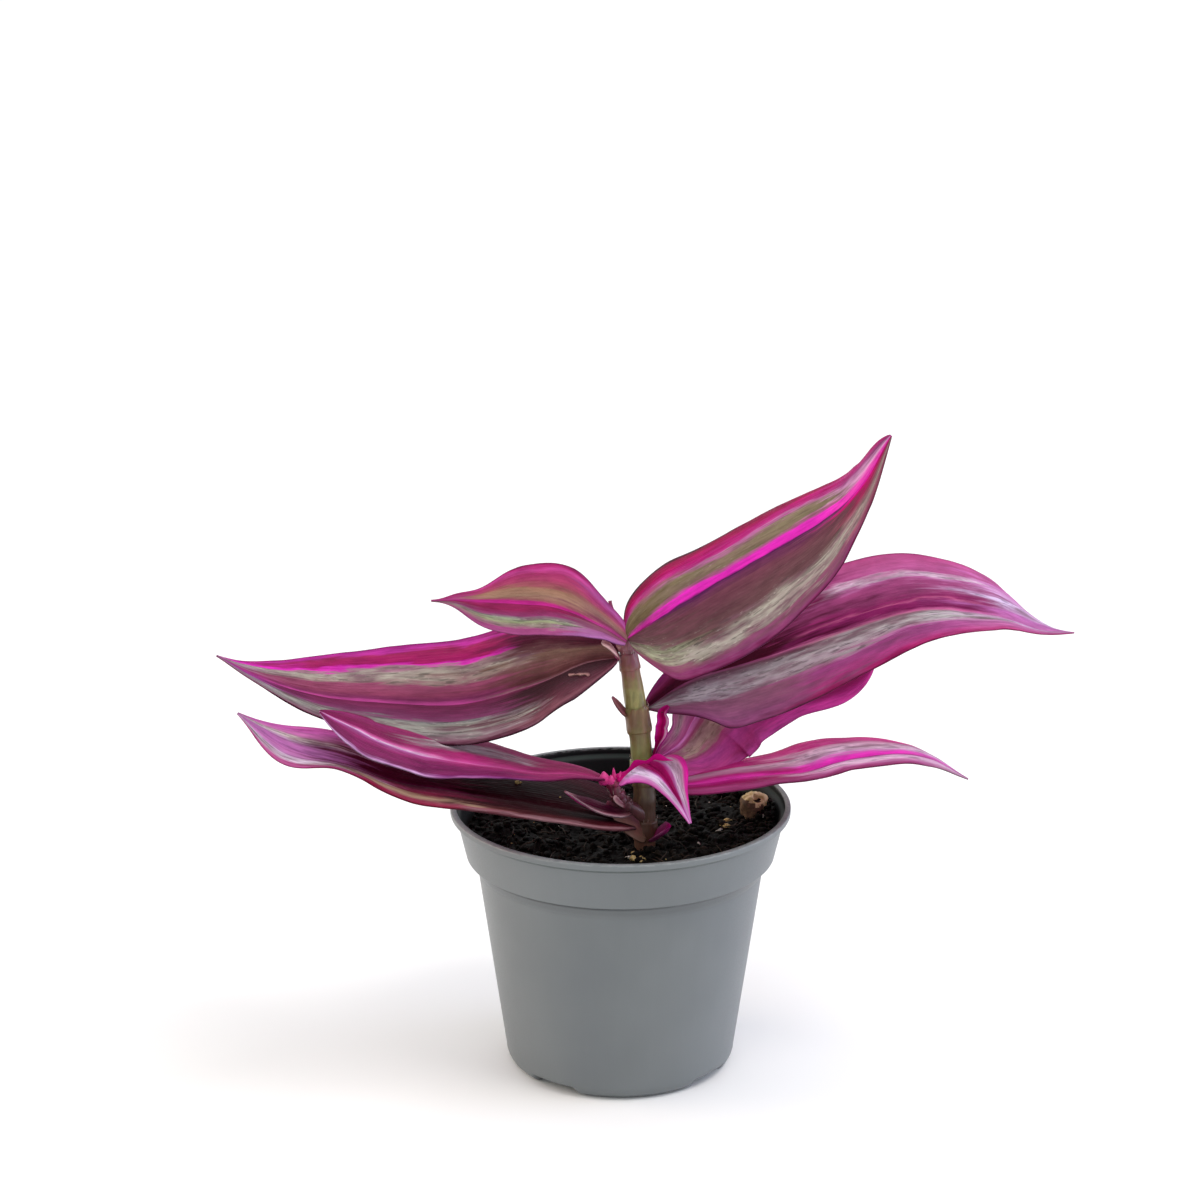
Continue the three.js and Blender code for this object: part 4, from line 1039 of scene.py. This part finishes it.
# Small rolled leaves and bracts that grow out of another leaf's foot, and a dry scar on one leaf. What
# several of them share comes first.
SPROUT_FORM = dict(
    widest=0.5, taper=0.8, left=dict(lift=10, curl=-20), right=dict(lift=10, curl=-20),
    middle="-1 d030a0, -0.6 b81868, 0 94104c, 0.5 b4186c, 0.8 d8a0c0, 1 c82c98",
    base="-1 b8206c, 0 a0144c, 1 b8206c",
    tip="-1 c8288c, 0 a81860, 1 c8288c",
)
SPROUTS = dict(
    pink_hood=dict(
        rib=[(-0.7, -13, 57.4), (2.1, -12.5, 58.5), (4.6, -12.4, 59.5), (7, -13, 60.1), (9.2, -13.6, 59.6)],
        half=1.1, widest=0.66, taper=0.4, roll=55,
        left=dict(lift=20, curl=-30, scale=[1, 0.6, 1.3, 0.7, 1.25, 0.8, 1.3]),
        right=dict(lift=20, curl=-60, scale=[1, 1.3, 0.8, 1.2, 0.9]),
        middle="-1 d8248c, -0.3 b8186c, 0.2 dc2c94, 0.8 e03ca0, 1 c82080",
        base="-1 e0308c, 0 c81c70, 1 dc2c88",
        tip="-1 e02c98, 0 c82484, 1 dc3098",
    ),
    spear_leaf=dict(
        rib=[(5.2, -9.2, 57.8), (6.7, -9.5, 62.3), (7.1, -9.2, 65.5), (7.3, -8.8, 67.8), (8.3, -8.4, 69)],
        half=0.8, roll=20,
        left=dict(lift=30, curl=-10), right=dict(lift=30, curl=-10),
    ),
    low_bud_leaf=dict(
        rib=[(5.5, -10.6, 45.2), (7.5, -13, 47.5), (8.5, -14, 49)],
        half=1.6, roll=30,
        left=dict(lift=30, curl=-10), right=dict(lift=30, curl=-10),
        middle="-1 d068a0, -0.6 b04480, 0 902860, 0.6 a83c7c, 1 d070a8",
    ),
    foot_bract=dict(
        rib=[(4.3, -11, 46), (2, -12.3, 48.6), (-0.2, -12.9, 50.9), (-2.4, -13.4, 53.2)],
        half=1.8, widest=0.4, roll=-50,
        middle="-1 c09488, -0.6 a47468, 0 94645c, 0.5 804854, 1 b07c80",
        base="-1 a48070, 0 9c7868, 1 a47c68",
        tip="-1 8c4858, 0 6c2c40, 1 905868",
    ),
    pale_bract=dict(
        rib=[(0.6, -13, 52.4), (-0.4, -13.8, 53.4), (-1.2, -14, 54.5)],
        half=0.3, roll=-50,
        middle="-1 c89ca0, 0 a86478, 1 d0a8ac",
        base="-1 8c4c5c, 1 8c4c5c",
        tip="-1 d8b0b4, 1 c89098",
    ),
    pale_curl=dict(
        rib=[(-0.4, -8.8, 77.7), (-1.3, -9.7, 79.5), (-2.3, -10.2, 80.7), (-3.3, -10.2, 81.2)],
        half=0.42, taper=0.7, roll=-40,
        middle="-1 e4bcbc, 0 c88c94, 1 dcb0b4",
        base="-1 9c5c68, 1 a86c74",
        tip="-1 e8c4c4, 1 d8a8ac",
    ),
    dry_scar=dict(
        rib=[(-5.4, -13, 76.1), (-6.6, -11.7, 75.9), (-7.9, -10.8, 75.4), (-8.9, -9.1, 75)],
        half=0.12, widest=0.4, taper=0.7, roll=-8,
        left=dict(lift=5, curl=-20, scale=[1, 0.3, 1.3, 0.4, 0.1, 1.3, 0.5]),
        right=dict(lift=5, curl=-20, scale=[0.6, 1.3, 0.2, 0.9, 0.1, 1.4, 0.8]),
        middle="-1 b48c88, 0 8c6064, 1 c09894",
        base="-1 a87c7c, 1 8c5c60",
        tip="-1 bc9090, 1 905c64",
    ),
    sheath_bract=dict(
        rib=[(1, -8.2, 67.3), (-0.2, -8.6, 68.9), (-1.5, -9, 70.8)],
        half=0.7, widest=0.4, taper=0.9, roll=-30,
        left=dict(lift=10, curl=-10), right=dict(lift=10, curl=-10),
        middle="-1 9c6468, 0 8a4c54, 1 a07074",
        base="-1 80604c, 1 8a6450",
        tip="-1 a86c78, 1 905460",
    ),
)


def half_width(leaf, shares):
    """The outline of one half: pointed at the tip, widest where the leaf says, with a short stalk."""
    widest, taper = leaf["widest"], leaf["taper"]
    rise = taper * widest / (1 - widest)
    most = widest**rise * (1 - widest) ** taper
    blade = leaf["half"] * shares**rise * (1 - shares) ** taper / most
    return blade + min(STALK_WIDTH, leaf["half"] * 0.3) * (1 - shares) ** 3 + MARGIN_WIDTH


def blade_surface(leaf, shares, across):
    """Middle surface of a blade over a grid of shares along it and places across it, its upper normal,
    and how far each point lies from the midrib."""
    step = 1e-3
    centre = spline(leaf["rib"], shares)
    ahead, behind = (spline(leaf["rib"], np.clip(shares + off, 0, 1)) for off in (step, -step))
    forward = unit(ahead - behind)
    up = unit(np.array([0, 0, 1.0]) - forward * forward[:, 2:])
    roll = np.radians(along_leaf(leaf["roll"], shares))[:, None]
    face = up * np.cos(roll) + np.cross(forward, up) * np.sin(roll)
    right = np.cross(forward, face)
    width = half_width(leaf, shares)
    points = np.zeros((len(shares), len(across), 3))
    normals = np.zeros_like(points)
    distance = np.zeros(points.shape[:2])
    for hand, side in ((-1, leaf["left"]), (1, leaf["right"])):
        chosen = across < 0 if hand < 0 else across >= 0
        out = np.abs(across[chosen])[None, :]
        reach = (width * along_leaf(side.get("scale", 1), shares))[:, None]
        lift = np.radians(along_leaf(side["lift"], shares))[:, None]
        curl = math.radians(side["curl"])
        turn = lift + curl * out
        run = reach * (np.sin(turn) - np.sin(lift)) / curl
        rise = reach * (np.cos(lift) - np.cos(turn)) / curl
        outward, upward = hand * right[:, None], face[:, None]
        points[:, chosen] = centre[:, None] + run[..., None] * outward + rise[..., None] * upward
        normals[:, chosen] = np.cos(turn)[..., None] * upward - np.sin(turn)[..., None] * outward
        distance[:, chosen] = reach * out
    return points, normals, distance


def blade_mesh(leaf, seed):
    """A closed blade: grooved along its midrib, gently rippled, thin at its margin."""
    small = leaf["half"] < SMALL_HALF
    rows, half_columns = (60, 14) if small else (150, 30)
    calm, shallow = (0.3, 0.35) if small else (1, 1)
    shares = np.linspace(0, 1, rows)
    across = np.sin(np.linspace(-math.pi / 2, math.pi / 2, 2 * half_columns + 1))
    across = 0.6 * across + 0.4 * np.linspace(-1, 1, len(across))
    points, normals, distance = blade_surface(leaf, shares, across)
    # Ripples fade towards the base and the tip, and are strongest at the margins.
    fades = calm * smoothstep(shares, 0.08, 0.3) * (1 - smoothstep(shares, 0.85, 1))
    for i, fade in enumerate(fades):
        for k, out in enumerate(across):
            spot = Vector(points[i, k] / RIPPLE_LENGTH) + Vector((seed * 3.1, 0, 0))
            ripple = noise.noise(spot) * (0.5 + 0.9 * abs(out)) + 0.35 * noise.noise(spot * 3.1)
            points[i, k] += normals[i, k] * RIPPLE_HEIGHT * fade * ripple
    groove = MIDRIB_DEPTH * shallow * np.exp(-(distance / MIDRIB_WIDTH) ** 2) * (1 - 0.7 * shares[:, None])
    swell = np.sqrt(np.clip(1 - across**2, 0, 1))[None, :]
    thickness = MARGIN_THICKNESS + (BLADE_THICKNESS - MARGIN_THICKNESS) * swell
    half = thickness * (1 - 0.5 * smoothstep(shares, 0.7, 1))[:, None] / 2
    upper = points + normals * (half - groove)[..., None]
    lower = points - normals * (half + groove * 1.3)[..., None]
    everything = np.concatenate([upper.reshape(-1, 3), lower.reshape(-1, 3)])
    place = [(share, (out + 1) / 2) for share in shares for out in across] * 2

    columns = len(across)
    below = rows * columns
    top = grid_faces(rows, columns)
    bottom = [face[::-1] for face in grid_faces(rows, columns, start=below)]
    # The rim runs along the base, up the right margin, back over the tip and down the left margin.
    rim = list(range(columns)) + [i * columns + columns - 1 for i in range(1, rows)]
    rim += [(rows - 1) * columns + k for k in range(columns - 2, -1, -1)]
    rim += [i * columns for i in range(rows - 2, 0, -1)]
    edge = [[b, a, a + below, b + below] for a, b in zip(rim, rim[1:] + rim[:1])]
    kinds = [0] * len(top) + [1] * len(bottom) + [0] * len(edge)
    return everything, top + bottom + edge, place, kinds


# What the table of leaves says about a leaf's skin
LOOKS = ["middle", "base", "tip", "tip_from", "base_to", "dusk"]


def make_leaf(name, leaf, seed, underside):
    """A leaf's blade. One that has a sheath stands for the solid of its name."""
    points, faces, place, kinds = blade_mesh(leaf, seed)
    rib = spline(leaf["rib"], np.linspace(0, 1, 40))
    length = float(np.linalg.norm(np.diff(rib, axis=0), axis=1).sum())
    looks = {key: leaf[key] for key in LOOKS if key in leaf}
    skins = [leaf_material(name + "_skin", length, leaf["half"], **looks), underside]
    shown, stands_for = (name + "_blade", (name,)) if "sheath" in leaf else (name, ())
    make_piece(shown, points, faces, skins, leaf.get("slot", "leaf"), stands_for, kinds, place)


def make_sheath(name, leaf, seed, material):
    """The foot of a leaf, wrapped round the stem, with an uneven mouth."""
    limb, low, high = leaf["sheath"]
    line, radius_at = LIMBS[limb]
    sides = 40
    fine = spline(line, np.linspace(0, 1, 900))
    path = fine[(fine[:, 2] >= low) & (fine[:, 2] <= high)]
    path = path[np.linspace(0, len(path) - 1, 16).astype(int)]
    shares = np.linspace(0, 1, len(path))
    cover = SHEATH_GAP + SHEATH_WALL * np.sin(np.clip(shares * 1.1 + 0.12, 0, 1) * math.pi / 2) ** 0.5
    radii = ribbed(radius_at(path[:, 2]) + cover, sides, seed, 0.16)
    radii[-1] = radii[-1] - SHEATH_MOUTH
    make_piece(name + "_sheath", *tube(path, radii, sides), [material], "stem")


def make_fringe(material):
    """Fine pale hairs round the mouth of each sheath."""
    draw = random.Random(HAIR_SEED)
    batch = Batch()
    for leaf in LEAVES.values():
        limb, _, high = leaf["sheath"]
        line, radius_at = LIMBS[limb]
        fine = spline(line, np.linspace(0, 1, 400))
        centre = fine[np.argmin(np.abs(fine[:, 2] - high))]
        radius = float(radius_at(high)) + SHEATH_WALL * 0.6
        for _ in range(HAIRS_PER_SHEATH):
            out = np.array([*polar(1, draw.uniform(0, 2 * math.pi)), 0])
            foot = centre + out * radius
            tip = foot + out * draw.uniform(0.05, 0.3) + [0, 0, draw.uniform(0.4, 0.9)]
            batch.add(*tube([foot, (foot + tip) / 2 + out * 0.12, tip], [0.05, 0.04, 0.012], 4))
    batch.piece("sheath_hairs", [material], "stem")


def make_plant():
    underside = underside_material("leaf_underside", "7c1450", "b42c7c")
    materials = {
        "stem": stem_material("fleshy_stem", STEM_COLOURS),
        "branch": stem_material("flushed_branch", BRANCH_COLOURS),
        "peat": soil_material("damp_peat", "0 040302, 0.45 0a0604, 0.8 150e08, 1 271a10", 0.8),
        "bark": soil_material("composted_bark", "0 0e0906, 0.6 1e150f, 1 3c2a1d", 0.65),
        "perlite": speckled_material("perlite_grain", "b8aea4", "e8e2da", 0.4, 0.8),
        "wood_chip": speckled_material("dry_wood_chip", "a8884c", "dcc48c", 0.5, 0.75),
        "fibre": speckled_material("peat_fibre", "1a110b", "3a281b", 1.2, 0.8),
        "stub": speckled_material("dry_stem_bark", "3a281c", "7a5c44", 0.8, 0.75, 0.2),
        "pith": speckled_material("dry_stem_pith", "a8904c", "ead2a8", 0.8, 0.8, 0.15),
    }
    make_pot()
    make_soil(materials)
    draw = random.Random(CRUMB_SEED)
    for make in (make_peat_crumbs, make_pale_grains, make_fibres):
        make(draw, materials)
    make_stem(materials)
    make_stub(materials)
    make_buds(speckled_material("pink_bud_skin", "c0106c", "e8449c", 0.7, 0.4, 0.05))
    for seed, (name, leaf) in enumerate(LEAVES.items()):
        make_leaf(name, leaf, seed, underside)
        make_sheath(name, leaf, seed, materials[leaf["sheath"][0]])
    for seed, (name, leaf) in enumerate(SPROUTS.items()):
        make_leaf(name, {**SPROUT_FORM, **leaf}, FIRST_SPROUT_SEED + seed, underside)
    make_fringe(speckled_material("pale_hair", "a08884", "ccb8b0", 0.5, 0.6, 0.02))


# Floor, light and camera

FLOOR_REACH = 3000
WORLD_DIM = 0.27
WORLD_BRIGHT = 0.9
WORLD_TINT = (0.965, 0.985, 1, 1)


def make_stage():
    """White paper under the part, and a studio that is bright overhead and at both sides, and dim behind
    the camera and behind the plant."""
    material, add = new_material("white_paper_floor", ior=1.45, roughness=0.8, Specular_IOR_Level=0)
    shade = grain(add, add("TexCoord", output="Object"), 125)
    set_shader(material, Base_Color=add("ValToRGB", [shade], stops=[(0, "f1f2f3"), (1, "f6f6f6")]))
    corners = [(x * FLOOR_REACH, y * FLOOR_REACH, 0) for x, y in ((-1, -1), (1, -1), (1, 1), (-1, 1))]
    floor = new_object("floor", new_mesh("floor", corners, [[0, 1, 2, 3]], [material]))

    world = bpy.data.worlds.new("studio")
    world.use_nodes = True
    add = functools.partial(add_node, world.node_tree)
    direction = add("TexCoord", output="Generated")
    x, z = (add("SeparateXYZ", [direction], output=axis) for axis in "XZ")
    sideways = add("Math", [x], operation="ABSOLUTE")
    raised = add("Math", [sideways, 0.35, z], operation="MULTIPLY_ADD")
    strength = add("MapRange", [raised, 0.1, 0.6, WORLD_DIM, WORLD_BRIGHT], **EASED)
    background = world.node_tree.nodes["Background"]
    fill(world.node_tree, background.inputs["Strength"], strength)
    fill(world.node_tree, background.inputs["Color"], WORLD_TINT)
    bpy.context.scene.world = world


def add_light(name, place, size, power, colour, aim=(0, 0, 0.06)):
    """A square soft light that faces the plant, or another place. Places and sizes are in metres."""
    light = bpy.data.lights.new(name, "AREA")
    light.shape, light.size, light.energy, light.color = "SQUARE", size, power, linear(colour)[:3]
    lamp = new_object(name, light)
    lamp.location = place
    lamp.rotation_euler = (Vector(aim) - Vector(place)).to_track_quat("-Z", "Y").to_euler()


def make_lights():
    add_light("key_light", (0.35, -0.25, 0.75), 0.35, 2.5, "fffaf4")
    add_light("left_fill", (-0.75, 0.1, 0.25), 0.5, 3.1, "ffe8ce")
    add_light("right_fill", (0.75, 0.1, 0.25), 0.5, 2.4, "d2daff")
    add_light("backdrop_light", (0, 1.7, 1.1), 2.2, 7.5, "ffffff", (0, 1.7, 0))


def make_camera():
    camera = bpy.data.cameras.new("camera")
    camera.lens, camera.sensor_width, camera.clip_start = FOCAL_LENGTH, SENSOR, 0.01
    view = new_object("camera", camera)
    tilt = math.radians(VIEW_ELEVATION)
    back = Vector((0, -math.cos(tilt), math.sin(tilt)))
    view.location = (Vector(VIEW_AIM) + VIEW_DISTANCE * back) * MM
    view.rotation_euler = (math.radians(90) - tilt, 0, 0)
    bpy.context.scene.camera = view


make_camera()
make_stage()
make_lights()
make_plant()
bpy.context.scene.view_settings.view_transform = "Standard"
